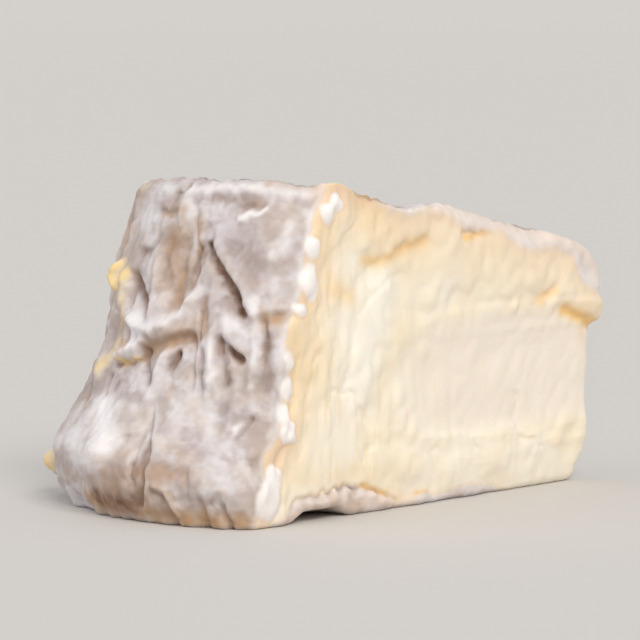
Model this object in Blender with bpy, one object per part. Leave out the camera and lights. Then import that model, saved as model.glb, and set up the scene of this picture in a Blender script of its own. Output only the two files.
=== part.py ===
"""A wedge of soft, white-rinded triple-cream cheese cut from a slumped round wheel, real size.

Row frame: the wedge rests on z = 0, the rind faces -X, the tip of the cut points to +X, the near cut faces -Y.
"""

import bmesh
import bpy
import numpy as np

MM = 0.001

# Driving dimensions, in millimetres, measured from the line where the two cuts would meet
HALF_ANGLE = np.radians(18.4)      # the wedge opens by twice this
ALONG = np.array([np.cos(HALF_ANGLE), np.sin(HALF_ANGLE)])
ROUND_THE_RIND = 70.0              # length given to the rind from the near cut to the far cut
ROW_ORIGIN = (-58.65, 2.05)        # plan place, from that line, of the middle of the wedge's box
TRIANGLES = 11200

# Each list is (height, distance): the wheel has slumped, so its wall leans out towards the foot.
# The belly is how far the middle of the rind stands out beyond its ends, the nose how far the tip reaches.
NEAR_EDGE = [(0, 109.0), (4, 111.0), (9, 111.5), (14, 109.0), (20, 104.5), (28, 101.5), (37, 100.5),
             (46, 97.3), (55, 94.0), (63, 90.5), (70, 86.5)]
FAR_EDGE = [(0, 112.0), (4, 115.4), (8, 117.0), (12, 117.0), (17, 113.8), (22, 112.1), (27, 109.3),
            (32, 107.0), (38, 105.2), (45, 105.0), (52, 103.9), (58, 101.7), (64, 100.5), (70, 98.4)]
BELLY = [(0, 7.0), (10, 8.0), (30, 7.5), (50, 6.0), (70, 4.5)]
NOSE = [(0, -4.5), (2.5, -2.1), (5, -0.1), (8, 1.0), (12, 1.6), (18, 2.0), (26, 2.4), (31, 2.7), (33, 3.4),
        (34.2, 3.8), (35.4, 4.9), (37, 5.2), (39, 5.5), (40.3, 5.3), (41.7, 4.4), (43.2, 4.9), (46, 5.0),
        (60, 4.3)]
NOSE_ROUNDING = 12.0               # where the cuts turn into the rounded tip, along each cut
NOSE_PULL = 0.47                   # how far the rounding draws the tip back, as a share of it
CORNER_NEAR = 3.5                  # rounding of the upright corner between rind and near cut
CORNER_FAR = 3.0
CUT_LENGTH = 97.0                  # of each cut, between its two rounded ends

# (distance from the tip, height): the top sags from the wheel's rim down to the tip
TOP = [(-8, 41.0), (-4.5, 46.6), (-2.1, 49.3), (0.7, 51.9), (4, 53.5), (8, 54.5), (12, 55.2), (20, 56.5),
       (29, 59.0), (36, 61.2), (43, 62.1), (50, 62.5), (60, 62.6), (70, 64.3), (80, 65.1), (120, 65.4)]
TIP_REACH = 6.0                    # nearer the tip than this, the top's height depends on x alone
RIM_HEIGHT = 66.0
RIM_RISE = 3.6                     # the wheel's rim stands proud of the sagged top
RIM_CROWN = 1.9                    # and is this much higher midway between the cuts
RIM_WIDTH = 9.0
RIM_DROP = 1.3                     # the rim is this much lower at the far cut
RIM_ROUNDING = 3.6
RIM_RELIEF = 0.2                   # share of the rind's relief that the rim shows from above
# Where the top stands up in a peak or sags a little more: plan place, half width, height
SWELLS = [((-81.0, -26.0), 5.0, 0.8), ((-84.0, -23.2), 4.0, -2.4), ((-96.5, 13.5), 6.0, -1.5),
          ((-44.0, 7.5), 7.0, -0.9)]

FOOT_ROUNDING = 1.6
TIP_FOOT_ROUNDING = 3.2
PRESSED_BELOW = 0.35               # the soft foot is pressed flat where it would stand no higher than this
TIP_TOP_ROUNDING = 2.0

# (distance from the tip, rounding): the top skin turns down over the cuts, more so towards the tip
NEAR_TOP_ROUNDING = [(0, 2.8), (10, 3.2), (22, 4.5), (40, 4.5), (52, 1.8), (120, 1.8)]
FAR_TOP_ROUNDING = [(0, 2.8), (10, 3.2), (22, 4.5), (30, 4.5), (60, 2.5), (120, 2.5)]

# The foot of the near cut is curled up off the board for part of its length
CURL_HEIGHT = 2.3
CURL_PLACE = 88.5                  # middle of it, from the tip
CURL_HALF_LENGTH = 10.0
CURL_DEPTH = 12.0                  # how far in under the wedge it reaches

# Columns of the fine grid round the outline, clockwise from the tip
NEAR_CUT, NEAR_CORNER, RIND, FAR_CORNER, FAR_CUT, TIP = range(6)
COLUMNS = (88, 6, 96, 6, 76, 28)
# and its rows, from the middle of the foot up to the middle of the top
FOOT_ROWS, FOOT_TURN_ROWS, WALL_ROWS, TOP_TURN_ROWS, TOP_ROWS = 20, 6, 84, 8, 32
MIDDLE = np.array([-66.0, 0.0])    # plan place that the foot's and the top's rows close in on

# Folds of the rind: points (round the rind from the near cut, height), soft width, sharp width, height at
# both ends. Skin hangs, so a fold drops sharply on one side. Where a path runs down, its soft side is the
# far one, and where it runs towards the near cut, the lower one.
RIND_FOLDS = [
    # the two creases that meet like a V under the rim, with the lip that hangs over the right one
    ([(22.2, 55.8), (18.2, 53), (15.6, 50.2), (12.4, 47.9), (10.1, 45.2), (8.8, 42.3)], 1.9, 0.5, -1.2, -3.6),
    ([(20.2, 55.6), (16.6, 52.6), (13.8, 50), (11, 48.2), (8.8, 46), (7, 42.8)], 0.8, 2.3, 0.7, 1.2),
    ([(24.2, 54.8), (24.2, 51), (24, 48)], 1.5, 0.6, -1.5, -0.8),
    ([(21.5, 53), (18, 48), (15.5, 43.5)], 2.0, 2.0, 0.4, 1.2),
    ([(14.5, 45.5), (12.3, 42.8)], 1.2, 0.6, -0.9, -0.9),
    # hollows left of the V
    ([(31, 55.5), (29, 50), (28.5, 45)], 3.4, 2.6, -1.8, -2.0),
    ([(26, 53.5), (23.8, 50), (24.9, 44.8), (27.4, 42.6)], 1.5, 0.5, -0.9, -0.9),
    ([(35.5, 52), (30.5, 46)], 1.6, 1.2, -0.8, -0.8),
    ([(38.5, 52), (36, 46), (34.8, 42)], 1.2, 1.2, 0.5, 1.0),
    ([(47, 48.5), (43.5, 46.6), (39.8, 44.5), (36.6, 42)], 2.1, 1.1, -1.5, -2.6),
    ([(49.8, 46.2), (48.4, 43.4), (46.6, 40.4)], 2.0, 1.5, 0.9, 0.8),
    ([(45.2, 44.5), (42.6, 39.5), (41, 36)], 0.9, 0.7, -0.8, -1.0),
    ([(47, 54), (43.8, 54.2), (41.3, 56.6)], 1.9, 0.7, -1.2, -1.0),
    # folds under the rim
    ([(36.5, 67.5), (39.5, 66), (40.5, 64.2)], 1.4, 0.5, -1.3, -0.9),
    ([(35, 65), (34.5, 62.5)], 2.1, 2.1, 0.8, 0.9),
    ([(44.2, 62.5), (40.7, 61.8), (36.8, 62.6)], 1.1, 0.5, -0.8, -0.9),
    ([(13.5, 64), (17.8, 64.5), (23.2, 65.5), (27.2, 66.2)], 1.7, 0.7, -0.8, -0.4),
    ([(17.5, 61.6), (14, 62.6), (11.7, 63.6)], 0.9, 0.9, 0.4, 0.5),
    ([(29.8, 61.2), (28.2, 58), (26, 55)], 0.9, 0.4, -0.5, -0.8),
    # the white band across the middle, and the hollow under it
    ([(41.5, 40.2), (37, 38.8), (32.6, 38.4), (28.8, 39.6), (26, 42), (24.2, 44.6)], 1.3, 1.7, 1.4, 1.1),
    ([(35, 35.2), (31, 36), (27, 37.2), (22.2, 38.2)], 2.2, 0.7, -1.9, -2.1),
    ([(35.5, 35), (32.8, 31.5), (30, 28)], 1.3, 0.6, -1.6, -0.8),
    ([(26.6, 33.6), (27.5, 31), (27.9, 28.2), (28.8, 23.5)], 1.2, 1.2, 1.9, 0.3),
    ([(24, 33.8), (24.4, 31.8), (25, 29.5)], 0.7, 0.9, -2.0, -0.7),
    ([(43.4, 32.6), (40.2, 33.6), (36, 35.3)], 1.2, 1.3, 1.4, 1.2),
    ([(43.8, 30.7), (39.8, 30.9), (36.4, 31.5), (34.8, 32.8)], 0.9, 0.5, -1.2, -1.0),
    # lumps of paste along the far side of the rind
    ([(46.6, 34.2)], 1.5, 1.5, 0.7, 0.7),
    ([(48.8, 31.6)], 1.6, 1.6, 0.9, 0.9),
    ([(50.6, 29)], 1.7, 1.7, 0.9, 0.9),
    # upright grooves of the middle
    ([(20.5, 42.5), (19.3, 39.2), (19, 37)], 0.6, 0.4, -0.7, -0.8),
    ([(20.8, 37.8), (19.5, 34.2), (18.8, 30), (18.4, 27)], 1.3, 0.5, -1.2, -0.6),
    ([(17.5, 35), (16.5, 29.5), (15.8, 26)], 0.9, 0.5, -0.9, -0.5),
    ([(17.6, 44), (16, 39.2), (14.9, 34), (14.2, 29)], 1.3, 1.1, 0.5, 0.8),
    ([(14.8, 38.2), (11.5, 36.2), (8.6, 33.6)], 2.1, 0.5, -1.4, -3.0),
    ([(13.8, 37.5), (12.6, 33.5), (11.3, 28.5)], 1.4, 0.6, -1.5, -0.7),
    ([(7.8, 45.5), (6.1, 40), (5.7, 34), (5.6, 28)], 1.3, 1.2, 0.6, 1.0),
    ([(5, 41.5), (3.6, 38), (3.2, 33), (3, 27.5)], 1.0, 0.45, -1.9, -0.9),
    ([(5.8, 42), (0, 42.3)], 1.3, 0.8, -1.5, -2.0),
    ([(1.2, 40), (0.8, 36), (1, 29)], 1.1, 1.2, 1.1, 0.8),
    # the smooth white bulge of the foot and the grooves beside it
    ([(46.5, 19), (37, 16.5)], 6.0, 6.0, 1.3, 1.4),
    ([(45.5, 26.5)], 3.8, 3.8, -0.9, -0.9),
    ([(44.6, 27.2), (43.2, 24.6)], 0.9, 0.5, -1.2, -1.0),
    ([(32.2, 15.6), (30.8, 16.9), (26.8, 17.8)], 3.2, 0.5, -0.9, -0.8),
    ([(26.8, 23.5), (25.2, 19.5), (22.8, 16.2), (21.5, 12.8), (21.2, 9.2), (22.8, 3.8)], 1.3, 0.5, -0.7, -1.5),
    ([(25.6, 17), (23.9, 12.8), (23.9, 8)], 0.8, 0.5, -0.6, -0.9),
    ([(18.2, 8.2), (16.2, 7.9), (15.3, 6), (15.2, 4.2), (14.8, 2.2)], 0.7, 0.6, 0.7, 0.7),
    ([(18.8, 7), (16.8, 6.4), (16.2, 4), (15.8, 1.5)], 1.0, 0.5, -0.7, -0.6),
    ([(17, 11.6), (12.8, 10.6)], 2.4, 1.0, -0.5, -0.5),
    ([(12.3, 11.8), (11.5, 7)], 1.2, 0.4, -0.5, -0.5),
    ([(10.6, 28.5), (10.7, 24.8), (9.8, 19.8)], 1.9, 1.2, -0.7, -0.5),
    ([(3.6, 21.2), (1, 18)], 1.7, 1.0, -0.6, -0.6),
    ([(5.8, 19.6)], 0.9, 0.9, 0.5, 0.5),
    ([(4.3, 21.8), (4.8, 20.4), (5.2, 18.4)], 0.7, 0.3, -0.7, -0.6),
    ([(1.2, 17), (0.3, 13)], 0.7, 0.4, -0.7, -1.2),
    ([(9, 5.5), (9, 2.2), (9.2, 0.5)], 1.0, 0.5, -0.8, -1.2),
    ([(4.8, 4.8), (4.2, 1)], 0.9, 0.5, -0.8, -1.1),
    ([(1.9, 3.8), (2, 0.8)], 0.7, 0.4, -0.6, -0.9),
    # the far end of the rind
    ([(62, 60), (60, 54), (58, 48)], 2.4, 1.2, -1.0, -1.5),
    ([(56, 58), (54.5, 50)], 1.5, 1.2, 0.8, 0.8),
    ([(62, 42), (60, 36), (58.5, 30)], 1.5, 0.6, -1.0, -1.7),
    ([(55, 37), (51, 28)], 2.2, 2.2, 0.9, 0.9),
    ([(54, 25), (52.5, 18), (52, 10)], 1.5, 0.6, -0.8, -1.3),
    ([(65, 24), (63, 16), (62.5, 6)], 1.4, 0.6, -1.0, -1.3),
    ([(59, 18), (58, 12)], 5.0, 4.0, 1.0, 1.0),
    ([(66, 58), (64.5, 50)], 1.1, 0.5, -0.9, -0.7),
]
NARROWEST = 1.1                    # a fold narrower than this is given this width

# Folds of the cuts: the same, with points (distance from the tip, height)
CUT_FOLDS = [
    # the lip that hangs over at the tip, and the crease under it
    ([(9, 42.5), (3, 40), (-4, 38), (-9, 37.5)], 3.2, 3.2, 0.9, 1.1),
    ([(9.5, 39.4), (4, 36.3), (-2, 33.4), (-9, 33)], 1.6, 0.8, -0.9, -1.3),
    # the long crease under the ripe cream near the rind
    ([(83.2, 44.9), (78, 47.4), (74, 50.8), (69, 52.4), (62, 54.9), (56, 55.9)], 2.0, 0.8, -0.3, -0.9),
    ([(76, 56.5), (66, 57.5), (56, 58.5)], 3.0, 2.5, 0.6, 0.4),
    # the slab of smeared cream: its two sides, its notched top and its foot
    ([(76.8, 42.8), (80, 35.9), (81.6, 26.4)], 1.2, 0.6, -0.5, -0.7),
    ([(71, 45), (74, 36), (77.5, 28)], 4.2, 4.8, 0.7, 0.7),
    ([(75.8, 43.8), (71, 47.2), (67.4, 49.3), (64, 49.2)], 0.8, 0.8, -0.3, -0.3),
    ([(86, 26.4), (79, 25.2), (77, 22.5), (74.4, 18.3)], 0.9, 0.5, -0.4, -0.5),
    # drips drawn down beside the rind
    ([(76.2, 62.4), (81.3, 58.1), (84.8, 54), (87, 46)], 1.0, 0.5, -0.4, -0.5),
    ([(85.5, 63), (87.3, 53.3), (89.4, 44), (91, 34)], 0.9, 0.5, -0.4, -0.6),
    ([(91.5, 34), (93, 24), (95.5, 14)], 1.0, 0.5, -0.5, -0.4),
    ([(86, 40), (87, 32), (87.5, 27)], 1.6, 1.0, 0.4, 0.5),
    ([(80.5, 61), (84, 56)], 1.4, 1.4, 0.4, 0.3),
    ([(96, 34), (97.5, 25), (100, 17), (103, 11)], 0.8, 0.5, -0.5, -0.5),
    # the upper edge of the core, under the ripe cream
    ([(55.3, 40.5), (49, 41.6), (43.5, 43.9), (38.5, 44.2), (36.8, 42.8), (28, 41.2), (20.4, 40.4), (13, 42.8),
      (8.6, 39.3)], 1.0, 1.2, -0.3, -0.4),
    ([(53, 46.5), (44, 48.2), (36, 47), (27, 45), (19, 46)], 3.0, 3.0, 0.5, 0.4),
    ([(42, 45.2), (32.7, 45.4), (20.6, 43.2)], 1.5, 1.2, -0.15, -0.2),
    ([(17.4, 42.2), (13, 43.6)], 1.2, 1.2, -0.3, -0.4),
    ([(26.7, 40.3)], 1.0, 1.0, 0.6, 0.6),
    # under the top's skin
    ([(43.6, 57.2), (39, 56.6), (34, 57.2)], 1.0, 0.5, -1.0, -0.7),
    # the lower edge of the core and the blocks of cream below it
    ([(71.6, 16.5), (65, 16.4), (57, 14.1), (46.6, 13.8), (39.5, 12.9), (25.5, 13.8), (16, 10.2), (7, 9.8),
      (-2, 9.8)], 1.6, 1.2, 0.4, 0.3),
    ([(71.7, 16.6), (73.1, 14.2), (75.8, 11.6)], 1.0, 0.5, -0.5, -0.4),
    ([(53.6, 12), (52.7, 7)], 0.9, 0.4, -0.5, -0.4),
    ([(39.6, 13.2), (38, 8.8)], 0.9, 0.4, -0.4, -0.4),
    ([(24.4, 21), (25.1, 14), (23.7, 11.9), (16.2, 9.9)], 0.9, 0.5, -0.5, -0.4),
    ([(66, 11), (58, 9.5), (48, 8), (34, 8.5), (26, 8)], 4.0, 3.0, 0.6, 0.6),
    ([(18.5, 7.5)], 1.8, 1.8, 0.5, 0.5),
    # the paste's lower edge over the skin of the underside
    ([(97, 4.6), (90, 5.2), (84.5, 6.0), (78, 6.3), (74, 5), (70, 3.6), (65, 1.8)], 0.9, 0.5, -0.8, -1.0),
    ([(92, 3.4), (85, 4.0), (78, 4.2), (71, 2.4), (63, 1.2), (52, 0.8)], 1.3, 1.1, 0.7, 0.5),
]
# Lobes of the cut rind on the near cut: (distance from the tip, height), half width, half height
NEAR_LOBES = [
    ((88.0, 64.3), 1.8, 3.1), ((92.2, 56.1), 2.0, 2.3), ((94.3, 49.5), 2.3, 3.8), ((96.6, 43.4), 1.8, 1.8),
    ((97.6, 39.0), 1.3, 1.1), ((98.9, 33.5), 1.0, 1.8), ((99.8, 27.5), 1.7, 2.6), ((100.6, 20.8), 2.0, 3.5),
    ((106.4, 7.6), 3.2, 5.4),
]
LOBE_HEIGHT = 0.8
CORE = ((24, 27), (37, 13), 0.6)    # centre, half sizes and depth of the firmer, slightly sunken core

# Crumbs of paste that stick to the rind: (round the rind, height), half width, how far they stand out
CRUMBS = [((55, 48.2), 1.6, 2.6), ((53.2, 46.4), 1.4, 2.0), ((54, 50.4), 1.2, 1.7), ((50.8, 48.4), 1.5, 1.1),
          ((68.2, 7.4), 2.9, 3.6)]


def curve(knots, at):
    """Smooth curve through (place, value) knots."""
    place, value = np.array(knots, float).T
    slope = np.gradient(value, place)
    at = np.clip(at, place[0], place[-1])
    i = np.clip(np.searchsorted(place, at, side="right") - 1, 0, len(place) - 2)
    span = place[i + 1] - place[i]
    t = (at - place[i]) / span
    rise = t * t * (3 - 2 * t)
    return (value[i] + (value[i + 1] - value[i]) * rise
            + span * t * (1 - t) * ((1 - t) * slope[i] - t * slope[i + 1]))


def waves(points, seed, shortest, longest, count=48):
    """Smooth random field of about unit height, from seeded plane waves between two lengths."""
    rng = np.random.default_rng(seed)
    size = points.shape[-1]
    heading = rng.standard_normal((count, size))
    heading /= np.linalg.norm(heading, axis=1, keepdims=True)
    length = np.exp(rng.uniform(np.log(shortest), np.log(longest), count))
    phase = rng.uniform(0, 2 * np.pi, count)
    total = np.zeros(points.shape[:-1])
    for k in range(count):
        total += np.cos(points @ (heading[k] * 2 * np.pi / length[k]) + phase[k])
    return total * np.sqrt(2.0 / count)


def pillows(points, seed, shortest, longest):
    """Rounded pillows with soft valleys between them: the size of a wave, without its sign."""
    return np.sqrt(waves(points, seed, shortest, longest) ** 2 + 0.15) - 0.85


def wandered(a, z, seed, reach, shortest, longest):
    """The same places, each shifted a little by smooth noise, so that no line stays straight."""
    place = np.stack([a, z], -1)
    return (a + reach * waves(place, seed, shortest, longest),
            z + reach * waves(place, seed + 1, shortest, longest))


def along_path(path, a, z):
    """Distance to a path, its side from -1 to 1, and how far along it the nearest point is, from 0 to 1."""
    best, side, along = np.full(a.shape, 1e9), np.zeros(a.shape), np.zeros(a.shape)
    ends = list(zip(path, path[1:])) or [(path[0], path[0])]
    for k, ((a0, z0), (a1, z1)) in enumerate(ends):
        run_a, run_z = a1 - a0, z1 - z0
        length = max(np.hypot(run_a, run_z), 1e-6)
        t = np.clip(((a - a0) * run_a + (z - z0) * run_z) / length ** 2, 0, 1)
        away_a, away_z = a - a0 - t * run_a, z - z0 - t * run_z
        distance = np.hypot(away_a, away_z)
        nearer = distance < best
        turn = (run_a * away_z - run_z * away_a) / (length * np.maximum(distance, 1e-6))
        best = np.where(nearer, distance, best)
        side = np.where(nearer, turn, side)
        along = np.where(nearer, (k + t) / len(ends), along)
    return best, side, along


def folds(named, a, z):
    """Total height of the named folds at each place."""
    total = np.zeros(a.shape)
    for path, soft, sharp, start, end in named:
        distance, side, along = along_path(path, a, z)
        width = np.maximum(sharp + (soft - sharp) * (0.5 + 0.5 * side), NARROWEST)
        total += (start + (end - start) * along) * np.exp(-(distance / width) ** 2)
    return total


def step(low, high, x):
    """0 below low, 1 above high, smooth between."""
    t = np.clip((x - low) / (high - low), 0, 1)
    return t * t * (3 - 2 * t)


def rind_relief(a, z):
    """Height of the skin above or below the smooth wall."""
    place = np.stack([a, z], -1)
    sway = 1.2 * waves(place, 3, 12, 24)
    upright = np.stack([a + sway, z / 2.0], -1)
    strength = 0.3 + 0.5 * np.exp(-((z - 40) / 12) ** 2) + 0.3 * step(50, 62, a)
    crumple = 0.5 * strength * pillows(upright, 5, 6, 12)
    soft = (0.35 - 0.25 * step(58, 66, z)) * waves(place, 7, 10, 26)
    fine = 0.04 * waves(place, 8, 1.8, 4)
    ripples = 0.4 * step(7, 1, z) * waves(np.stack([a, z / 4], -1), 9, 3, 7)
    named = folds(RIND_FOLDS, *wandered(a, z, 1, 0.15, 4, 9))
    return named + crumple + soft + fine + ripples


def lobe_edge(lobes, d, z):
    """Distance in millimetres inside the nearest lobe of cut rind, negative outside all of them."""
    wander = np.stack([d, z], -1)
    d = d + 0.3 * waves(wander, 31, 3, 7)
    z = z + 0.3 * waves(wander, 32, 3, 7)
    inside = np.full(d.shape, -9.0)
    for (d0, z0), half_d, half_z in lobes:
        away = np.hypot((d - d0) / half_d, (z - z0) / half_z)
        inside = np.maximum(inside, (1 - away) * min(half_d, half_z))
    return inside


def core_share(d, z):
    """1 in the firm core of the cut, 0 in the cream round it."""
    (d0, z0), (half_d, half_z), _ = CORE
    return np.clip(1.35 - np.abs((d - d0) / half_d) ** 2.6 - np.abs((z - z0) / half_z) ** 4, 0, 1)


def cut_relief(lobes, d, z, seed):
    """A cut through soft paste: core set back, cream bulging under the rind, drips drawn by the knife."""
    core = core_share(d, z)
    place = np.stack([d, z], -1)
    drips = (0.02 + 0.06 * step(60, 86, d)) * waves(np.stack([d, z / 6], -1), seed, 2.5, 7)
    soft = (0.2 - 0.12 * core) * waves(place, seed + 1, 8, 22)
    smeared = (0.2 - 0.1 * core) * pillows(np.stack([d, z / 1.4], -1), seed + 2, 5, 11)
    lobe = LOBE_HEIGHT * step(-0.5, 1.2, lobe_edge(lobes, d, z))
    named = folds(CUT_FOLDS, *wandered(d, z, seed + 3, 0.35, 3, 8))
    return named - CORE[2] * core + drips + soft + smeared + lobe


def wall_reach(share, z):
    """Distance of the rind's wall from the tip, for a share of the way from the near cut to the far cut."""
    near, far = curve(NEAR_EDGE, z), curve(FAR_EDGE, z)
    return near + (far - near) * share + curve(BELLY, z) * 4 * share * (1 - share)


def top_height(x, y):
    """Height of the sagged top: a low tip, a nearly level middle and a rim along the rind."""
    reach = np.where(x > -TIP_REACH, -x, np.hypot(x, y))
    share = np.clip(0.5 + np.arctan2(y, np.maximum(-x, 1.0)) / (2 * HALF_ANGLE), 0, 1)
    wall = wall_reach(share, RIM_HEIGHT)
    rim = np.exp(-(np.clip(wall - reach, 0, None) / RIM_WIDTH) ** 2)
    flat = np.stack([x, y], -1)
    wobble = (0.25 * waves(flat, 11, 8, 20) + 0.4 * waves(flat, 12, 28, 60)) * step(0, 20, reach)
    crown = RIM_CROWN * 4 * share * (1 - share)
    height = curve(TOP, reach) + (RIM_RISE - RIM_DROP * share + crown) * rim + wobble
    for (middle_x, middle_y), half_width, swell in SWELLS:
        height += swell * np.exp(-((x - middle_x) ** 2 + (y - middle_y) ** 2) / half_width ** 2)
    return height


def top_wrinkles(flat):
    """Fine wrinkles of the skin on the top."""
    return 0.3 * pillows(flat, 13, 4, 10) + 0.06 * waves(flat, 14, 1.6, 4)


def foot_height(x, y):
    """Height of the underside: flat, with the curled part under the near cut."""
    along = -x * ALONG[0] - y * ALONG[1]
    inward = -(x * ALONG[1] - y * ALONG[0])
    lengthwise = step(CURL_HALF_LENGTH, 0.4 * CURL_HALF_LENGTH, np.abs(along - CURL_PLACE))
    return CURL_HEIGHT * lengthwise * step(CURL_DEPTH, 0, inward)


def bezier(start, corner, end, share):
    """Rounded corner from start to end."""
    t = share[:, None]
    return (1 - t) ** 2 * start + 2 * t * (1 - t) * corner + t ** 2 * end


def rind_place(share, z):
    """Plan place on the rind's wall."""
    reach = wall_reach(share, z)
    angle = HALF_ANGLE * (2 * share - 1)
    return np.stack([-reach * np.cos(angle), reach * np.sin(angle)], -1)


def towards(start, end, distance):
    """Plan place at a distance from start on the straight way to end."""
    run = end - start
    return start + run * (distance / np.linalg.norm(run, axis=-1))[:, None]


def outline(section, share, z):
    """Plan place of each column at its height z, from its section of the outline and its share of the way."""
    near_corner = curve(NEAR_EDGE, z)[:, None] * [-ALONG[0], -ALONG[1]]
    far_corner = curve(FAR_EDGE, z)[:, None] * [-ALONG[0], ALONG[1]]
    apex = np.stack([curve(NOSE, z) + NOSE_PULL * NOSE_ROUNDING, 0 * z], -1)
    rind_start = CORNER_NEAR / ROUND_THE_RIND + 0 * z
    rind_end = 1 - CORNER_FAR / ROUND_THE_RIND + 0 * z

    near_start = towards(apex, near_corner, NOSE_ROUNDING)
    near_end = towards(near_corner, apex, CORNER_NEAR)
    far_start = towards(far_corner, apex, CORNER_FAR)
    far_end = towards(apex, far_corner, NOSE_ROUNDING)
    places = {
        NEAR_CUT: near_start + (near_end - near_start) * share[:, None],
        NEAR_CORNER: bezier(near_end, near_corner, rind_place(rind_start, z), share),
        RIND: rind_place(rind_start + (rind_end - rind_start) * share, z),
        FAR_CORNER: bezier(rind_place(rind_end, z), far_corner, far_start, share),
        FAR_CUT: far_start + (far_end - far_start) * share[:, None],
        TIP: bezier(far_end, apex, near_start, share),
    }
    return np.select([(section == key)[:, None] for key in places], list(places.values()))


section = np.repeat(np.arange(len(COLUMNS)), COLUMNS)
share = np.concatenate([np.arange(n) / n for n in COLUMNS])
level = 0 * share


def by_section(default, values):
    """One value for each column, chosen by its section."""
    return np.select([section == key for key in values], list(values.values()), default)


# How much of each face's relief a column takes
grow, fade = step(0, 1, share), 1 - step(0, 1, share)
on_rind = by_section(0.0, {NEAR_CORNER: grow, RIND: 1, FAR_CORNER: fade})
on_near = by_section(0.0, {NEAR_CUT: 1, NEAR_CORNER: fade, TIP: grow})
on_far = by_section(0.0, {FAR_CORNER: grow, FAR_CUT: 1, TIP: fade})
# Millimetres round the rind from the near cut, carried on past both corners
corner_start = ROUND_THE_RIND - CORNER_FAR
round_rind = by_section(-CUT_LENGTH, {
    NEAR_CUT: CUT_LENGTH * (share - 1), NEAR_CORNER: CORNER_NEAR * share,
    RIND: CORNER_NEAR + (corner_start - CORNER_NEAR) * share,
    FAR_CORNER: corner_start + CORNER_NEAR * share,
    FAR_CUT: corner_start + CORNER_NEAR + CUT_LENGTH * share})


def along_cuts(flat):
    """Distance from the tip along the near cut and along the far cut, for a plan place."""
    return -flat @ ALONG, -flat @ (ALONG * [1, -1])


def face_relief(flat, height):
    """Relief of whichever face each plan place is on, at a height measured along the skin."""
    near_d, far_d = along_cuts(flat)
    relief = (on_rind * rind_relief(round_rind, height)
              + on_near * cut_relief(NEAR_LOBES, near_d, height, 20)
              + on_far * cut_relief([], far_d, height, 40))
    for (crumb_round, crumb_height), half_width, rise in CRUMBS:
        reach = np.hypot(round_rind - crumb_round, height - crumb_height)
        relief += rise * np.exp(-(reach / half_width) ** 3)
    return relief


def evened(z):
    """The same heights without their small changes from column to column."""
    for _ in range(60):
        z = (z + np.roll(z, 1) + np.roll(z, -1)) / 3
    return z


def plan(z, inset, height, lean=1.0):
    """Plan place of each column at z, drawn in by inset, with a share of the relief, and the full relief."""
    flat, even = outline(section, share, z), outline(section, share, evened(z))
    tangent = np.roll(even, -1, axis=0) - np.roll(even, 1, axis=0)
    outward = np.stack([tangent[:, 1], -tangent[:, 0]], -1) / np.linalg.norm(tangent, axis=-1)[:, None]
    outward *= np.sign(np.sum(outward * (flat - MIDDLE), -1))[:, None]
    relief = face_relief(flat, height)
    return flat + outward * (lean * relief - inset)[:, None], relief


def grid_places():
    """Every point of the fine grid, column by column, from the middle of the foot to the middle of the top."""
    from_tip, from_tip_far = along_cuts(outline(section, share, level + 58))
    at_tip = np.where(on_rind > 0, 0, step(14, 4, np.minimum(from_tip, from_tip_far)))
    top_round = (RIM_ROUNDING * on_rind + on_near * curve(NEAR_TOP_ROUNDING, from_tip)
                 + on_far * curve(FAR_TOP_ROUNDING, from_tip_far))
    tip_round = TIP_TOP_ROUNDING + (NEAR_TOP_ROUNDING[0][1] - TIP_TOP_ROUNDING) * (2 * share - 1) ** 2
    top_round = np.where(section == TIP, tip_round, top_round)
    foot_round = FOOT_ROUNDING + (TIP_FOOT_ROUNDING - FOOT_ROUNDING) * at_tip
    quarter = np.pi / 2

    # the wall's lowest and highest heights depend on where its edges fall, so they are settled in rounds
    low, high = foot_round, level + 58
    for _ in range(3):
        foot_edge, _ = plan(low, foot_round, low)
        top_edge, _ = plan(high, top_round, high + quarter * top_round, 0)
        low = foot_height(*foot_edge.T) + foot_round
        high = top_height(*top_edge.T) - top_round

    rows = []
    for part in (np.arange(FOOT_ROWS) / FOOT_ROWS) ** 0.7:
        flat = MIDDLE + (foot_edge - MIDDLE) * part
        rows.append((flat, foot_height(*flat.T)))
    for turn in np.linspace(0, quarter, FOOT_TURN_ROWS, endpoint=False):
        flat, _ = plan(low, foot_round * (1 - np.sin(turn)), low)
        rows.append((flat, low - foot_round * np.cos(turn)))
    for part in np.linspace(0, 1, WALL_ROWS):
        z = low + (high - low) * part
        rows.append((plan(z, level, z)[0], z))
    # over the rim the skin's relief goes on, and stands up from the surface as that turns level
    for turn in np.linspace(0, quarter, TOP_TURN_ROWS + 1)[1:]:
        flat, relief = plan(high, top_round * (1 - np.cos(turn)), high + top_round * turn, np.cos(turn))
        wrinkled = RIM_RELIEF * on_rind * relief + np.sin(turn) * top_wrinkles(flat)
        rows.append((flat, high + np.sin(turn) * (top_round + wrinkled)))
    for part in 1 - (np.arange(1, TOP_ROWS + 1) / TOP_ROWS) ** 1.5:
        flat = MIDDLE + (top_edge - MIDDLE) * part
        beyond_rim = (1 - part) * np.linalg.norm(top_edge - MIDDLE, axis=-1)
        from_rim = on_rind * rind_relief(round_rind, high + quarter * top_round + beyond_rim)
        relief = top_wrinkles(flat) + RIM_RELIEF * from_rim * step(8, 0, beyond_rim)
        rows.append((flat, top_height(*flat.T) + relief))
    return np.stack([np.column_stack([flat, np.maximum(z, 0)]) for flat, z in rows], 1)


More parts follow.
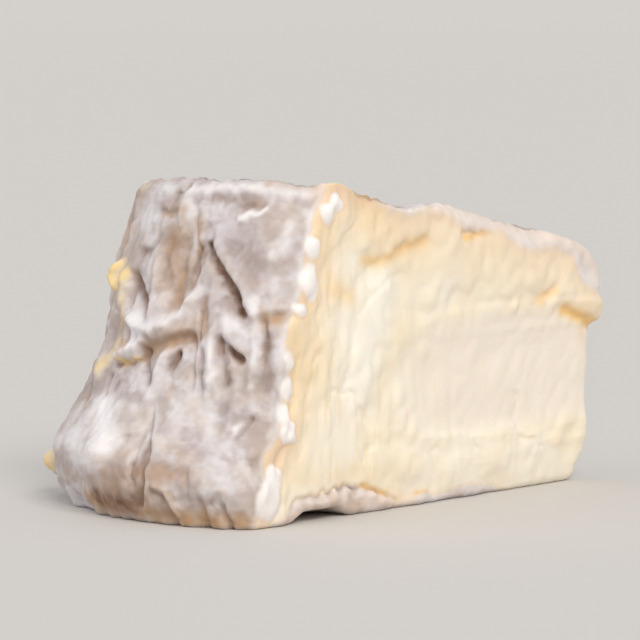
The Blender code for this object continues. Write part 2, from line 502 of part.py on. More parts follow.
def make_wedge(collection):
    """The fine form is a sphere's grid moved onto the wedge; a collapse then leaves the triangles it needs.

    The grid runs clockwise seen from above, so the sphere's turn is taken backwards. The collapse leaves the
    underside a little uneven, so that is pressed flat last.
    """
    places = (grid_places() - [*ROW_ORIGIN, 0]) * MM
    columns, rows = places.shape[:2]
    bm = bmesh.new()
    bmesh.ops.create_uvsphere(bm, u_segments=columns, v_segments=rows - 1, radius=1.0)
    for vert in bm.verts:
        row = round(np.arccos(np.clip(-vert.co.z, -1, 1)) / np.pi * (rows - 1))
        column = round(-np.arctan2(vert.co.y, vert.co.x) / (2 * np.pi) * columns) % columns
        vert.co = places[column, row]
    mesh = bpy.data.meshes.new("cheese_wedge")
    bm.to_mesh(mesh)
    bm.free()

    wedge = bpy.data.objects.new("cheese_wedge", mesh)
    collection.objects.link(wedge)
    fine_triangles = sum(len(face.vertices) - 2 for face in mesh.polygons)
    coarser = wedge.modifiers.new("fewer triangles", "DECIMATE")
    coarser.decimate_type = "COLLAPSE"
    coarser.ratio = TRIANGLES / fine_triangles
    coarser.use_collapse_triangulate = True
    collapsed = wedge.evaluated_get(bpy.context.evaluated_depsgraph_get())
    wedge.data = bpy.data.meshes.new_from_object(collapsed)
    wedge.modifiers.clear()
    for vert in wedge.data.vertices:
        if vert.co.z < PRESSED_BELOW * MM:
            vert.co.z = 0
    return wedge


def paste_material():
    """Cream-coloured ripe paste with a slight moist shine."""
    material = bpy.data.materials.new("ripe cream paste")
    material.use_nodes = True
    shader = material.node_tree.nodes["Principled BSDF"]
    shader.inputs["Base Color"].default_value = (0.80, 0.68, 0.50, 1)
    shader.inputs["Roughness"].default_value = 0.5
    shader.inputs["Metallic"].default_value = 0.0
    return material


for old in list(bpy.data.objects):
    bpy.data.objects.remove(old)
cheese = bpy.data.collections.new("soft cheese wedge")
bpy.context.scene.collection.children.link(cheese)
make_wedge(cheese).data.materials.append(paste_material())
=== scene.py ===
# %% [markdown]
# A wedge of ripe, white-rinded triple-cream cheese
#
# The real thing is cut from a small round wheel that has slumped as it ripened. Three things can be
# seen on it: the mould rind, which is a crumpled white skin with tan creases, the runny cream line
# just under it, and the firmer, paler core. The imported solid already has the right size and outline.
# This script makes the surface that a camera should see, and puts it exactly where the solid is.

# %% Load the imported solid
import math

import bmesh
import bpy
import numpy as np
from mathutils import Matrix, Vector


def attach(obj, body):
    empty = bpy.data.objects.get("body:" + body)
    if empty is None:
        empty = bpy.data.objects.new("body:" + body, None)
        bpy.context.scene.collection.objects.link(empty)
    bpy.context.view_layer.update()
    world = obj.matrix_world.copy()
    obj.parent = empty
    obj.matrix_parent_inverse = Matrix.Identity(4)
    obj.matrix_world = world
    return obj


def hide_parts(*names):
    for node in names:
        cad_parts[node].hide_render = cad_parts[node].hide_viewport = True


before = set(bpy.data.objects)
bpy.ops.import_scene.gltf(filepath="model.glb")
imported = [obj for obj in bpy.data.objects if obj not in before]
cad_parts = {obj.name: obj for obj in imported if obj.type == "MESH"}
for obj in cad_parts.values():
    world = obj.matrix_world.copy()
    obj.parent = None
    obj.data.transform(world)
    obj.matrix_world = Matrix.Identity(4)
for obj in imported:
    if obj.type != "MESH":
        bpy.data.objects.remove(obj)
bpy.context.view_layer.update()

MM = 0.001

# %% [markdown]
# The stage
#
# A plain pale floor and soft light, as a food photographer would use for white cheese. Far away the
# floor climbs a little, like a studio sweep, so that no horizon shows. The camera is a long lens just
# above the rim, because that is what gives the rind and the near cut their true proportions.


# %% Colours and nodes
def srgb(code, alpha=1.0):
    """Linear colour for an sRGB hex code such as "f3e6d2"."""
    channels = [int(code[k:k + 2], 16) / 255 for k in (0, 2, 4)]
    linear = [c / 12.92 if c <= 0.04045 else ((c + 0.055) / 1.055) ** 2.4 for c in channels]
    return (*linear, alpha)


def add(tree, kind, inputs=None, **settings):
    """Adds a node with its settings. Each input is a value, or the output of another node."""
    node = tree.nodes.new("ShaderNode" + kind)
    for name, value in settings.items():
        setattr(node, name, value)
    for key, value in (inputs or {}).items():
        if isinstance(value, bpy.types.NodeSocket):
            tree.links.new(value, node.inputs[key])
        else:
            node.inputs[key].default_value = value
    return node


def new_material(name):
    """A material with an empty node tree and its output node."""
    material = bpy.data.materials.new(name)
    material.use_nodes = True
    material.node_tree.nodes.clear()
    return material, material.node_tree, add(material.node_tree, "OutputMaterial")


# %% Floor
FLOOR_REACH = 60.0
FLAT_REACH = 10.0
FLOOR_RISE = 4.0

bm = bmesh.new()
bmesh.ops.create_grid(bm, x_segments=48, y_segments=48, size=FLOOR_REACH)
for vert in bm.verts:
    climb = min(max((vert.co.length - FLAT_REACH) / (FLOOR_REACH - FLAT_REACH), 0), 1)
    vert.co.z = FLOOR_RISE * climb ** 2
for face in bm.faces:
    face.smooth = True
floor_mesh = bpy.data.meshes.new("floor")
bm.to_mesh(floor_mesh)
bm.free()
floor = bpy.data.objects.new("floor", floor_mesh)
bpy.context.scene.collection.objects.link(floor)
floor_paint, tree, output = new_material("matt pale grey paint")
shader = add(tree, "BsdfPrincipled", {"Base Color": srgb("d2cfcb"), "Roughness": 0.8})
tree.links.new(shader.outputs[0], output.inputs[0])
floor_mesh.materials.append(floor_paint)

# %% Lights
scene = bpy.context.scene
scene.view_settings.view_transform = "Standard"
world = bpy.data.worlds.new("soft room light")
scene.world = world
world.use_nodes = True
world.node_tree.nodes["Background"].inputs["Color"].default_value = srgb("e4e6ea")
world.node_tree.nodes["Background"].inputs["Strength"].default_value = 0.62


def soft_sun(name, azimuth, elevation, strength, spread, colour):
    """A wide, even light from far away. Azimuth 0 comes from -Y and 90 from +X."""
    light = bpy.data.lights.new(name, "SUN")
    light.energy = strength
    light.angle = math.radians(spread)
    light.color = srgb(colour)[:3]
    lamp = bpy.data.objects.new(name, light)
    turn, rise = math.radians(azimuth), math.radians(elevation)
    back = Vector((math.sin(turn) * math.cos(rise), -math.cos(turn) * math.cos(rise), math.sin(rise)))
    lamp.rotation_euler = back.to_track_quat("Z", "Y").to_euler()
    scene.collection.objects.link(lamp)


soft_sun("key light on the cut", -10, 42, 1.84, 35, "fff9f0")
soft_sun("fill light on the rind", -100, 42, 0.68, 60, "fbfaff")

# %% Camera
# The view is 31 degrees round from the near side and 5 degrees down, from 0.75 metres away.
CAMERA_PLACE = Vector((-0.39395, -0.63775, 0.0996))
CAMERA_TURN = math.radians(31.2)
CAMERA_DIP = math.radians(4.7)
FIELD_OF_VIEW = math.radians(10.45)

camera = bpy.data.objects.new("camera", bpy.data.cameras.new("long lens"))
camera.location = CAMERA_PLACE
camera.rotation_euler = (math.pi / 2 - CAMERA_DIP, 0, -CAMERA_TURN)
camera.data.angle = FIELD_OF_VIEW
camera.data.clip_start = 0.01
scene.collection.objects.link(camera)
scene.camera = camera
print("lens, in millimetres:", round(camera.data.lens, 1))

# %% [markdown]
# The outline of the wedge
#
# A wedge could be cut from a turned wheel with two planes. This wheel has slumped, though: its wall
# leans out towards the foot, and its top sags from the rim to the tip. So the wedge is described by a
# few curves instead, each a list of knots with a smooth line through them. Distances are in
# millimetres from the upright line where the two cuts would meet, with the rind towards -X.

# %% Driving sizes of the outline
HALF_ANGLE = np.radians(18.4)
ALONG = np.array([np.cos(HALF_ANGLE), np.sin(HALF_ANGLE)])
ROUND_THE_RIND = 70.0
ROW_ORIGIN = (-58.65, 2.05)
MIDDLE = np.array([-66.0, 0.0])

NEAR_EDGE = [(0, 109), (4, 111), (9, 111.5), (14, 109), (20, 104.5), (28, 101.5), (37, 100.5),
             (46, 97.3), (55, 94), (63, 90.5), (70, 86.5)]
FAR_EDGE = [(0, 112), (4, 115.4), (8, 117), (12, 117), (17, 113.8), (22, 112.1), (27, 109.3),
            (32, 107), (38, 105.2), (45, 105), (52, 103.9), (58, 101.7), (64, 100.5), (70, 98.4)]
BELLY = [(0, 7), (10, 8), (30, 7.5), (50, 6), (70, 4.5)]
NOSE = [(0, -4.5), (2.5, -2.1), (5, -0.1), (8, 1), (12, 1.6), (18, 2), (26, 2.4), (31, 2.7), (33, 3.4),
        (34.2, 3.8), (35.4, 4.9), (37, 5.2), (39, 5.5), (40.3, 5.3), (41.7, 4.4), (43.2, 4.9), (46, 5),
        (60, 4.3)]
NOSE_ROUNDING = 12.0
NOSE_PULL = 0.47
CORNER_NEAR = 3.5
CORNER_FAR = 3.0
CUT_LENGTH = 97.0

TOP = [(-8, 41), (-4.5, 46.6), (-2.1, 49.3), (0.7, 51.9), (4, 53.5), (8, 54.5), (12, 55.2), (20, 56.5),
       (29, 59), (36, 61.2), (43, 62.1), (50, 62.5), (60, 62.6), (70, 64.3), (80, 65.1), (120, 65.4)]
TIP_REACH = 6.0
RIM_HEIGHT = 66.0
RIM_RISE = 3.6
RIM_CROWN = 1.9
RIM_WIDTH = 9.0
RIM_DROP = 1.3
RIM_ROUNDING = 3.6
RIM_RELIEF = 0.2
SWELLS = [((-81, -26), 5, 0.8), ((-84, -23.2), 4, -2.4), ((-96.5, 13.5), 6, -1.5),
          ((-44, 7.5), 7, -0.9)]

FOOT_ROUNDING = 1.6
TIP_FOOT_ROUNDING = 3.2
TIP_TOP_ROUNDING = 2.0
NEAR_TOP_ROUNDING = [(0, 2.8), (10, 3.2), (22, 4.5), (40, 4.5), (52, 1.8), (120, 1.8)]
FAR_TOP_ROUNDING = [(0, 2.8), (10, 3.2), (22, 4.5), (30, 4.5), (60, 2.5), (120, 2.5)]
CURL_HEIGHT = 2.3
CURL_PLACE = 88.5
CURL_HALF_LENGTH = 10.0
CURL_DEPTH = 12.0


# %% Smooth curves, smooth steps and random fields
def curve(knots, at):
    """Smooth curve through (place, value) knots."""
    place, value = np.array(knots, float).T
    slope = np.gradient(value, place)
    at = np.clip(at, place[0], place[-1])
    i = np.clip(np.searchsorted(place, at, side="right") - 1, 0, len(place) - 2)
    span = place[i + 1] - place[i]
    t = (at - place[i]) / span
    rise = t * t * (3 - 2 * t)
    return (value[i] + (value[i + 1] - value[i]) * rise
            + span * t * (1 - t) * ((1 - t) * slope[i] - t * slope[i + 1]))


def step(low, high, x):
    """0 below low, 1 above high, smooth between."""
    t = np.clip((x - low) / (high - low), 0, 1)
    return t * t * (3 - 2 * t)


def waves(points, seed, shortest, longest, count=48):
    """Smooth random field of about unit height, from seeded plane waves between two lengths."""
    rng = np.random.default_rng(seed)
    size = points.shape[-1]
    heading = rng.standard_normal((count, size))
    heading /= np.linalg.norm(heading, axis=1, keepdims=True)
    length = np.exp(rng.uniform(np.log(shortest), np.log(longest), count))
    phase = rng.uniform(0, 2 * np.pi, count)
    total = np.zeros(points.shape[:-1])
    for k in range(count):
        total += np.cos(points @ (heading[k] * 2 * np.pi / length[k]) + phase[k])
    return total * np.sqrt(2.0 / count)


def pillows(points, seed, shortest, longest):
    """Rounded pillows with soft valleys between them: the size of a wave, without its sign."""
    return np.sqrt(waves(points, seed, shortest, longest) ** 2 + 0.15) - 0.85


def wandered(a, z, seed, reach, shortest, longest):
    """The same places, each shifted a little by smooth noise, so that no line stays straight."""
    place = np.stack([a, z], -1)
    return (a + reach * waves(place, seed, shortest, longest),
            z + reach * waves(place, seed + 1, shortest, longest))


# %% Plan of the outline at any height
NEAR_CUT, NEAR_CORNER, RIND, FAR_CORNER, FAR_CUT, TIP = range(6)


def wall_reach(share, z):
    """Distance of the rind's wall from the tip, for a share of the way from the near to the far cut."""
    near, far = curve(NEAR_EDGE, z), curve(FAR_EDGE, z)
    return near + (far - near) * share + curve(BELLY, z) * 4 * share * (1 - share)


def rind_place(share, z):
    """Plan place on the rind's wall."""
    reach = wall_reach(share, z)
    angle = HALF_ANGLE * (2 * share - 1)
    return np.stack([-reach * np.cos(angle), reach * np.sin(angle)], -1)


def bezier(start, corner, end, share):
    """Rounded corner from start to end."""
    t = share[:, None]
    return (1 - t) ** 2 * start + 2 * t * (1 - t) * corner + t ** 2 * end


def towards(start, end, distance):
    """Plan place at a distance from start on the straight way to end."""
    run = end - start
    return start + run * (distance / np.linalg.norm(run, axis=-1))[:, None]


def outline(section, share, z):
    """Plan place of each column at its height z, from its section and its share of the way along it."""
    near_corner = curve(NEAR_EDGE, z)[:, None] * [-ALONG[0], -ALONG[1]]
    far_corner = curve(FAR_EDGE, z)[:, None] * [-ALONG[0], ALONG[1]]
    apex = np.stack([curve(NOSE, z) + NOSE_PULL * NOSE_ROUNDING, 0 * z], -1)
    rind_start = CORNER_NEAR / ROUND_THE_RIND + 0 * z
    rind_end = 1 - CORNER_FAR / ROUND_THE_RIND + 0 * z

    near_start = towards(apex, near_corner, NOSE_ROUNDING)
    near_end = towards(near_corner, apex, CORNER_NEAR)
    far_start = towards(far_corner, apex, CORNER_FAR)
    far_end = towards(apex, far_corner, NOSE_ROUNDING)
    places = {
        NEAR_CUT: near_start + (near_end - near_start) * share[:, None],
        NEAR_CORNER: bezier(near_end, near_corner, rind_place(rind_start, z), share),
        RIND: rind_place(rind_start + (rind_end - rind_start) * share, z),
        FAR_CORNER: bezier(rind_place(rind_end, z), far_corner, far_start, share),
        FAR_CUT: far_start + (far_end - far_start) * share[:, None],
        TIP: bezier(far_end, apex, near_start, share),
    }
    return np.select([(section == key)[:, None] for key in places], list(places.values()))


# %% Height of the top and of the underside
def top_height(x, y):
    """Height of the sagged top: a low tip, a nearly level middle and a rim along the rind."""
    reach = np.where(x > -TIP_REACH, -x, np.hypot(x, y))
    share = np.clip(0.5 + np.arctan2(y, np.maximum(-x, 1.0)) / (2 * HALF_ANGLE), 0, 1)
    wall = wall_reach(share, RIM_HEIGHT)
    rim = np.exp(-(np.clip(wall - reach, 0, None) / RIM_WIDTH) ** 2)
    flat = np.stack([x, y], -1)
    wobble = (0.25 * waves(flat, 11, 8, 20) + 0.4 * waves(flat, 12, 28, 60)) * step(0, 20, reach)
    crown = RIM_CROWN * 4 * share * (1 - share)
    height = curve(TOP, reach) + (RIM_RISE - RIM_DROP * share + crown) * rim + wobble
    for (middle_x, middle_y), half_width, swell in SWELLS:
        height += swell * np.exp(-((x - middle_x) ** 2 + (y - middle_y) ** 2) / half_width ** 2)
    return height


def top_wrinkles(flat):
    """Fine wrinkles of the skin on the top."""
    return 0.3 * pillows(flat, 13, 4, 10) + 0.06 * waves(flat, 14, 1.6, 4)


def foot_height(x, y):
    """Height of the underside: flat, with the curled part under the near cut."""
    along = -x * ALONG[0] - y * ALONG[1]
    inward = -(x * ALONG[1] - y * ALONG[0])
    lengthwise = step(CURL_HALF_LENGTH, 0.4 * CURL_HALF_LENGTH, np.abs(along - CURL_PLACE))
    return CURL_HEIGHT * lengthwise * step(CURL_DEPTH, 0, inward)


# %% [markdown]
# The folds of the rind
#
# Mould rind is a skin. As the paste under it slumps, the skin is too large for the wall, and it
# crumples into soft ridges with tight creases between them. A random pattern alone would look like
# rock, so the folds that catch the eye are named, one by one: each is a path on the unrolled rind and
# a height. Skin hangs, so a fold is gentle on one side and drops sharply on the other: each has a
# soft width and a sharp width. A fine random crumple fills what is between them.

# %% Named folds of the rind
# points (millimetres round the rind from the near cut, height), soft width, sharp width, and the fold's
# height at both ends. Where a path runs down, its soft side is the far one; where it runs towards the
# near cut, the lower one.
RIND_FOLDS = [
    # the two creases that meet like a V under the rim, with the lip that hangs over the right one
    ([(22.6, 55.8), (19.3, 53), (16.7, 50.4), (13.9, 47.9), (11.4, 45.2), (9.9, 42.6)],
     1.6, 0.6, -0.9, -2.4),
    ([(20.8, 55.6), (17.5, 52.6), (14.8, 50), (12.1, 48.2), (9.8, 46), (8, 43)], 0.8, 2.3, 0.5, 0.9),
    ([(24.2, 54.8), (24.2, 51), (24, 48)], 1.9, 1.1, -1.3, -0.8),
    ([(21.5, 53), (18, 48), (15.5, 43.5)], 2, 2, 0.4, 1.2),
    ([(14.5, 45.5), (12.3, 42.8)], 1.2, 0.6, -0.9, -0.9),
    # hollows left of the V
    ([(31, 55.5), (29, 50), (28.5, 45)], 3.4, 2.6, -1.8, -2),
    ([(26, 53.5), (23.8, 50), (24.9, 44.8), (27.4, 42.6)], 1.6, 0.8, -0.8, -0.8),
    ([(35.5, 52), (30.5, 46)], 1.6, 1.2, -0.8, -0.8),
    ([(38.5, 52), (36, 46), (34.8, 42)], 1.2, 1.2, 0.5, 1),
    ([(47, 48.5), (43.5, 46.6), (39.8, 44.5), (36.6, 42)], 2.1, 1.1, -1.5, -2.6),
    ([(49.8, 46.2), (48.4, 43.4), (46.6, 40.4)], 2, 1.5, 0.9, 0.8),
    ([(45.2, 44.5), (42.6, 39.5), (41, 36)], 0.9, 0.7, -0.8, -1),
    ([(47, 54), (43.8, 54.2), (41.3, 56.6)], 1.9, 0.7, -1.2, -1),
    # folds under the rim
    ([(36.5, 67.5), (39.5, 66), (40.5, 64.2)], 1.4, 0.5, -1.3, -0.9),
    ([(35, 65), (34.5, 62.5)], 2.1, 2.1, 0.8, 0.9),
    ([(44.2, 62.5), (40.7, 61.8), (36.8, 62.6)], 1.1, 0.5, -0.8, -0.9),
    ([(13.5, 64), (17.8, 64.5), (23.2, 65.5), (27.2, 66.2)], 1.7, 0.7, -0.8, -0.4),
    ([(17.5, 61.6), (14, 62.6), (11.7, 63.6)], 0.9, 0.9, 0.4, 0.5),
    ([(29.8, 61.2), (28.2, 58), (26, 55)], 0.9, 0.4, -0.5, -0.8),
    # the white band across the middle, and the hollow under it
    ([(41.5, 40.2), (37, 38.8), (32.6, 38.4), (28.8, 39.6), (26, 42), (24.2, 44.6)], 1.3, 1.7, 1.4, 1.1),
    ([(34.6, 34.2), (31, 35.2), (27, 36.5), (22.2, 37.6)], 2.5, 1.2, -1.6, -1.7),
    ([(35.5, 35), (32.8, 31.5), (30, 28)], 1.3, 0.6, -1.6, -0.8),
    ([(26.6, 33.6), (27.5, 31), (27.9, 28.2), (28.8, 23.5)], 1.2, 1.2, 1.9, 0.3),
    ([(24, 33.8), (24.4, 31.8), (25, 29.5)], 0.7, 0.9, -2, -0.7),
    ([(43.4, 32.6), (40.2, 33.6), (36, 35.3)], 1.2, 1.3, 1.4, 1.2),
    ([(43.8, 30.7), (39.8, 30.9), (36.4, 31.5), (34.8, 32.8)], 0.9, 0.5, -1.2, -1),
    # lumps of paste along the far side of the rind
    ([(46.6, 34.2)], 1.5, 1.5, 0.7, 0.7),
    ([(48.8, 31.6)], 1.6, 1.6, 0.9, 0.9),
    ([(50.6, 29)], 1.7, 1.7, 0.9, 0.9),
    # upright grooves of the middle
    ([(20.5, 42.5), (19.3, 39.2), (19, 37)], 0.6, 0.4, -0.7, -0.8),
    ([(20.8, 37.8), (19.5, 34.2), (18.8, 30), (18.4, 27)], 1.3, 0.5, -1.2, -0.6),
    ([(17.5, 35), (16.5, 29.5), (15.8, 26)], 0.9, 0.5, -0.9, -0.5),
    ([(17.6, 44), (16, 39.2), (14.9, 34), (14.2, 29)], 1.3, 1.1, 0.5, 0.8),
    ([(13.4, 37.4), (11.4, 35.9), (9.3, 33.9)], 2, 0.5, -0.9, -2.7),
    ([(13.8, 37.5), (12.6, 33.5), (11.3, 28.5)], 1.4, 0.6, -1.5, -0.7),
    ([(7.8, 45.5), (6.1, 40), (5.7, 34), (5.6, 28)], 1.3, 1.2, 0.6, 1),
    ([(5, 41), (3.8, 38), (3.2, 33), (3, 27.5)], 1, 0.6, -1.2, -0.8),
    ([(5.2, 42), (0, 42.3)], 1.5, 1, -0.8, -1.4),
    ([(1.2, 40), (0.8, 36), (1, 29)], 1.1, 1.2, 1.1, 0.8),
    # the smooth white bulge of the foot and the grooves beside it
    ([(46.5, 19), (37, 16.5)], 6, 6, 1.3, 1.4),
    ([(45.5, 26.5)], 3.8, 3.8, -0.9, -0.9),
    ([(44.6, 27.2), (43.2, 24.6)], 0.9, 0.5, -1.2, -1),
    ([(32.2, 15.6), (30.8, 16.9), (26.8, 17.8)], 3.2, 0.5, -0.9, -0.8),
    ([(26.8, 23.5), (25.2, 19.5), (22.8, 16.2), (21.5, 12.8), (21.2, 9.2), (22.8, 3.8)],
     1.3, 0.5, -0.7, -1.5),
    ([(25.6, 17), (23.9, 12.8), (23.9, 8)], 0.8, 0.5, -0.6, -0.9),
    ([(18.2, 8.2), (16.2, 7.9), (15.3, 6), (15.2, 4.2), (14.8, 2.2)], 0.7, 0.6, 0.7, 0.7),
    ([(18.8, 7), (16.8, 6.4), (16.2, 4), (15.8, 1.5)], 1, 0.5, -0.7, -0.6),
    ([(17, 11.6), (12.8, 10.6)], 2.4, 1, -0.5, -0.5),
    ([(12.3, 11.8), (11.5, 7)], 1.2, 0.4, -0.5, -0.5),
    ([(10.6, 28.5), (10.7, 24.8), (9.8, 19.8)], 1.9, 1.2, -0.7, -0.5),
    ([(3.6, 21.2), (1, 18)], 1.7, 1, -0.6, -0.6),
    ([(5.8, 19.6)], 0.9, 0.9, 0.5, 0.5),
    ([(4.3, 21.8), (4.8, 20.4), (5.2, 18.4)], 0.7, 0.3, -0.7, -0.6),
    ([(1.2, 17), (0.3, 13)], 0.7, 0.4, -0.7, -1.2),
    ([(9, 5.5), (9, 2.2), (9.2, 0.5)], 1, 0.5, -0.8, -1.2),
    ([(4.8, 4.8), (4.2, 1)], 0.9, 0.5, -0.8, -1.1),
    ([(1.9, 3.8), (2, 0.8)], 0.7, 0.4, -0.6, -0.9),
    # the far end of the rind
    ([(62, 60), (60, 54), (58, 48)], 2.4, 1.2, -1, -1.5),
    ([(56, 58), (54.5, 50)], 1.5, 1.2, 0.8, 0.8),
    ([(62, 42), (60, 36), (58.5, 30)], 1.5, 0.6, -1, -1.7),
    ([(55, 37), (51, 28)], 2.2, 2.2, 0.9, 0.9),
    ([(54, 25), (52.5, 18), (52, 10)], 1.5, 0.6, -0.8, -1.3),
    ([(65, 24), (63, 16), (62.5, 6)], 1.4, 0.6, -1, -1.3),
    ([(59, 18), (58, 12)], 5, 4, 1, 1),
    ([(66, 58), (64.5, 50)], 1.1, 0.5, -0.9, -0.7),
]
# crumbs of paste stuck to the rind: (round the rind, height), half width, how far they stand out
CRUMBS = [((55, 48.2), 1.6, 2.6), ((53.2, 46.4), 1.4, 2), ((54, 50.4), 1.2, 1.7),
          ((50.8, 48.4), 1.5, 1.1), ((68.2, 7.4), 2.9, 3.6)]


# %% Relief of the rind
def along_path(path, a, z):
    """Distance to a path, its side from -1 to 1, and how far along it the nearest point is, from 0 to 1."""
    best, side, along = np.full(a.shape, 1e9), np.zeros(a.shape), np.zeros(a.shape)
    ends = list(zip(path, path[1:])) or [(path[0], path[0])]
    for k, ((a0, z0), (a1, z1)) in enumerate(ends):
        run_a, run_z = a1 - a0, z1 - z0
        length = max(math.hypot(run_a, run_z), 1e-6)
        t = np.clip(((a - a0) * run_a + (z - z0) * run_z) / length ** 2, 0, 1)
        away_a, away_z = a - a0 - t * run_a, z - z0 - t * run_z
        distance = np.hypot(away_a, away_z)
        nearer = distance < best
        turn = (run_a * away_z - run_z * away_a) / (length * np.maximum(distance, 1e-6))
        best = np.where(nearer, distance, best)
        side = np.where(nearer, turn, side)
        along = np.where(nearer, (k + t) / len(ends), along)
    return best, side, along


def folds(named, a, z):
    """Total height of the named folds at each place."""
    total = np.zeros(a.shape)
    for path, soft, sharp, start, end in named:
        distance, side, along = along_path(path, a, z)
        width = sharp + (soft - sharp) * (0.5 + 0.5 * side)
        total += (start + (end - start) * along) * np.exp(-(distance / width) ** 2)
    return total


def rind_relief(a, z):
    """Height of the skin above or below the smooth wall."""
    place = np.stack([a, z], -1)
    sway = 1.2 * waves(place, 3, 12, 24)
    upright = np.stack([a + sway, z / 2.0], -1)
    # most crumpled half way up and at the far end, and smoother on the white bulge and left of the V
    strength = 0.3 + 0.5 * np.exp(-((z - 40) / 12) ** 2) + 0.3 * step(50, 62, a)
    strength *= 1 - 0.7 * step(24, 32, a) * (step(32, 24, z) + 0.6 * step(46, 54, z) * step(60, 52, a))
    crumple = 0.5 * strength * pillows(upright, 5, 6, 12)
    soft = (0.35 - 0.25 * step(58, 66, z)) * waves(place, 7, 10, 26)
    fine = 0.06 * waves(place, 8, 1.8, 4) + 0.12 * pillows(np.stack([a + 0.4 * z, z / 1.5], -1), 6, 2.6, 6)
    ripples = 0.4 * step(7, 1, z) * waves(np.stack([a, z / 4], -1), 9, 3, 7)
    named = folds(RIND_FOLDS, *wandered(a, z, 1, 0.15, 4, 9))
    return named + crumple + soft + fine + ripples


# %% [markdown]
# The two cuts
#
# A knife drags ripe paste along. The cream line bulges over the firmer core and hangs over it at the
# tip, upright drips follow the blade near the rind, and the cut edge of the rind swells into small
# white lobes. All of this is low, so it is named in the same way as the folds, in millimetres from
# the tip and above the board.

# %% Named relief of the cuts
# points (distance from the tip, height), soft width, sharp width, height at both ends.
# Where a path runs towards the tip, its soft side is the lower one; where it runs down, the rind's side.
CUT_FOLDS = [
    # the lip that hangs over at the tip, and the crease under it
    ([(9, 42.5), (3, 40), (-4, 38), (-9, 37.5)], 3.2, 3.2, 0.9, 1.1),
    ([(9.5, 39.4), (4, 37), (-2, 34.6), (-9, 33)], 2, 1.3, -0.5, -1.2),
    # the long crease under the ripe cream near the rind
    ([(83.2, 44.9), (78, 47.4), (74, 50.8), (69, 52.4), (62, 54.9), (56, 55.9)], 2.2, 1.2, -0.2, -0.8),
    ([(76, 56.5), (66, 57.5), (56, 58.5)], 3, 2.5, 0.6, 0.4),
    # the slab of smeared cream: its two sides, its notched top and its foot
    ([(76.8, 42.8), (80, 35.9), (81.6, 26.4)], 1.3, 0.9, -0.3, -0.5),
    ([(71, 45), (74, 36), (77.5, 28)], 4.2, 4.8, 0.7, 0.7),
    ([(75.8, 43.8), (71, 47.2), (67.4, 49.3), (64, 49.2)], 0.8, 0.8, -0.3, -0.3),
    ([(86, 26.4), (79, 25.2), (77, 22.5), (74.4, 18.3)], 0.9, 0.5, -0.4, -0.5),
    # drips drawn down beside the rind
    ([(76.2, 62.4), (81.3, 58.1), (84.8, 54), (87, 46)], 1.3, 0.8, -0.2, -0.35),
    ([(85.5, 63), (87.3, 53.3), (89.4, 44), (91, 34)], 1.2, 0.8, -0.2, -0.4),
    ([(91.5, 34), (93, 24), (95.5, 14)], 1.2, 0.7, -0.4, -0.3),
    ([(86, 40), (87, 32), (87.5, 27)], 1.6, 1, 0.4, 0.5),
    ([(80.5, 61), (84, 56)], 1.4, 1.4, 0.4, 0.3),
    ([(96, 34), (97.5, 25), (100, 17), (103, 11)], 0.8, 0.5, -0.5, -0.5),
    # the upper edge of the core, under the ripe cream
    ([(55.3, 40.5), (49, 41.6), (43.5, 43.9), (38.5, 44.2), (36.8, 42.8), (28, 41.2), (20.4, 40.4),
      (13, 42.8), (8.6, 39.3)], 1.3, 1.4, -0.12, -0.25),
    ([(53, 46.5), (44, 48.2), (36, 47), (27, 45), (19, 46)], 3, 3, 0.5, 0.4),
    ([(17.4, 42.2), (13, 43.6)], 1.2, 1.2, -0.3, -0.4),
    ([(26.7, 40.3)], 1, 1, 0.6, 0.6),
    # under the top's skin
    ([(43.6, 57.2), (39, 56.6), (34, 57.2)], 1, 0.5, -1, -0.7),
    # the lower edge of the core and the blocks of cream below it
    ([(71.6, 16.5), (65, 16.4), (57, 14.1), (46.6, 13.8), (39.5, 12.9), (25.5, 13.8), (16, 10.2),
      (7, 9.8), (-2, 9.8)], 1.6, 1.2, 0.4, 0.3),
    ([(71.7, 16.6), (73.1, 14.2), (75.8, 11.6)], 1, 0.5, -0.5, -0.4),
    ([(53.6, 12), (52.7, 7)], 0.9, 0.4, -0.5, -0.4),
    ([(39.6, 13.2), (38, 8.8)], 0.9, 0.4, -0.4, -0.4),
    ([(24.4, 21), (25.1, 14), (23.7, 11.9), (16.2, 9.9)], 0.9, 0.5, -0.5, -0.4),
    ([(66, 11), (58, 9.5), (48, 8), (34, 8.5), (26, 8)], 4, 3, 0.6, 0.6),
    ([(18.5, 7.5)], 1.8, 1.8, 0.5, 0.5),
    # the paste's lower edge over the skin of the underside
    ([(97, 4.6), (90, 5.2), (84.5, 6), (78, 6.3), (74, 5), (70, 3.6), (65, 1.8)], 0.9, 0.5, -0.8, -1),
    ([(92, 3.4), (85, 4), (78, 4.2), (71, 2.4), (63, 1.2), (52, 0.8)], 1.3, 1.1, 0.7, 0.5),
]
# lobes of the cut rind: (distance from the tip, height), half width, half height
NEAR_LOBES = [
    ((87, 62.9), 1.8, 2.2), ((85, 65), 1.8, 1.7), ((91.3, 56), 1.7, 2.2), ((92.4, 49.2), 2.3, 3.6),
    ((95.4, 43.7), 1.6, 1.5), ((98.9, 33.5), 0.8, 1.8), ((99.2, 27.9), 1.8, 2.3),
    ((100.3, 22.2), 1.6, 2.6), ((99.7, 19), 2.1, 2.1), ((104, 9.8), 2.4, 3.2), ((105.6, 6.2), 3.4, 4.2),
]
LOBE_HEIGHT = 0.8
FAR_FROM_LOBES = -9.0
# the core's middle (distance from the tip, height), its half length and half height, and how deep it is set
CORE = ((24, 27), (37, 13), 0.6)


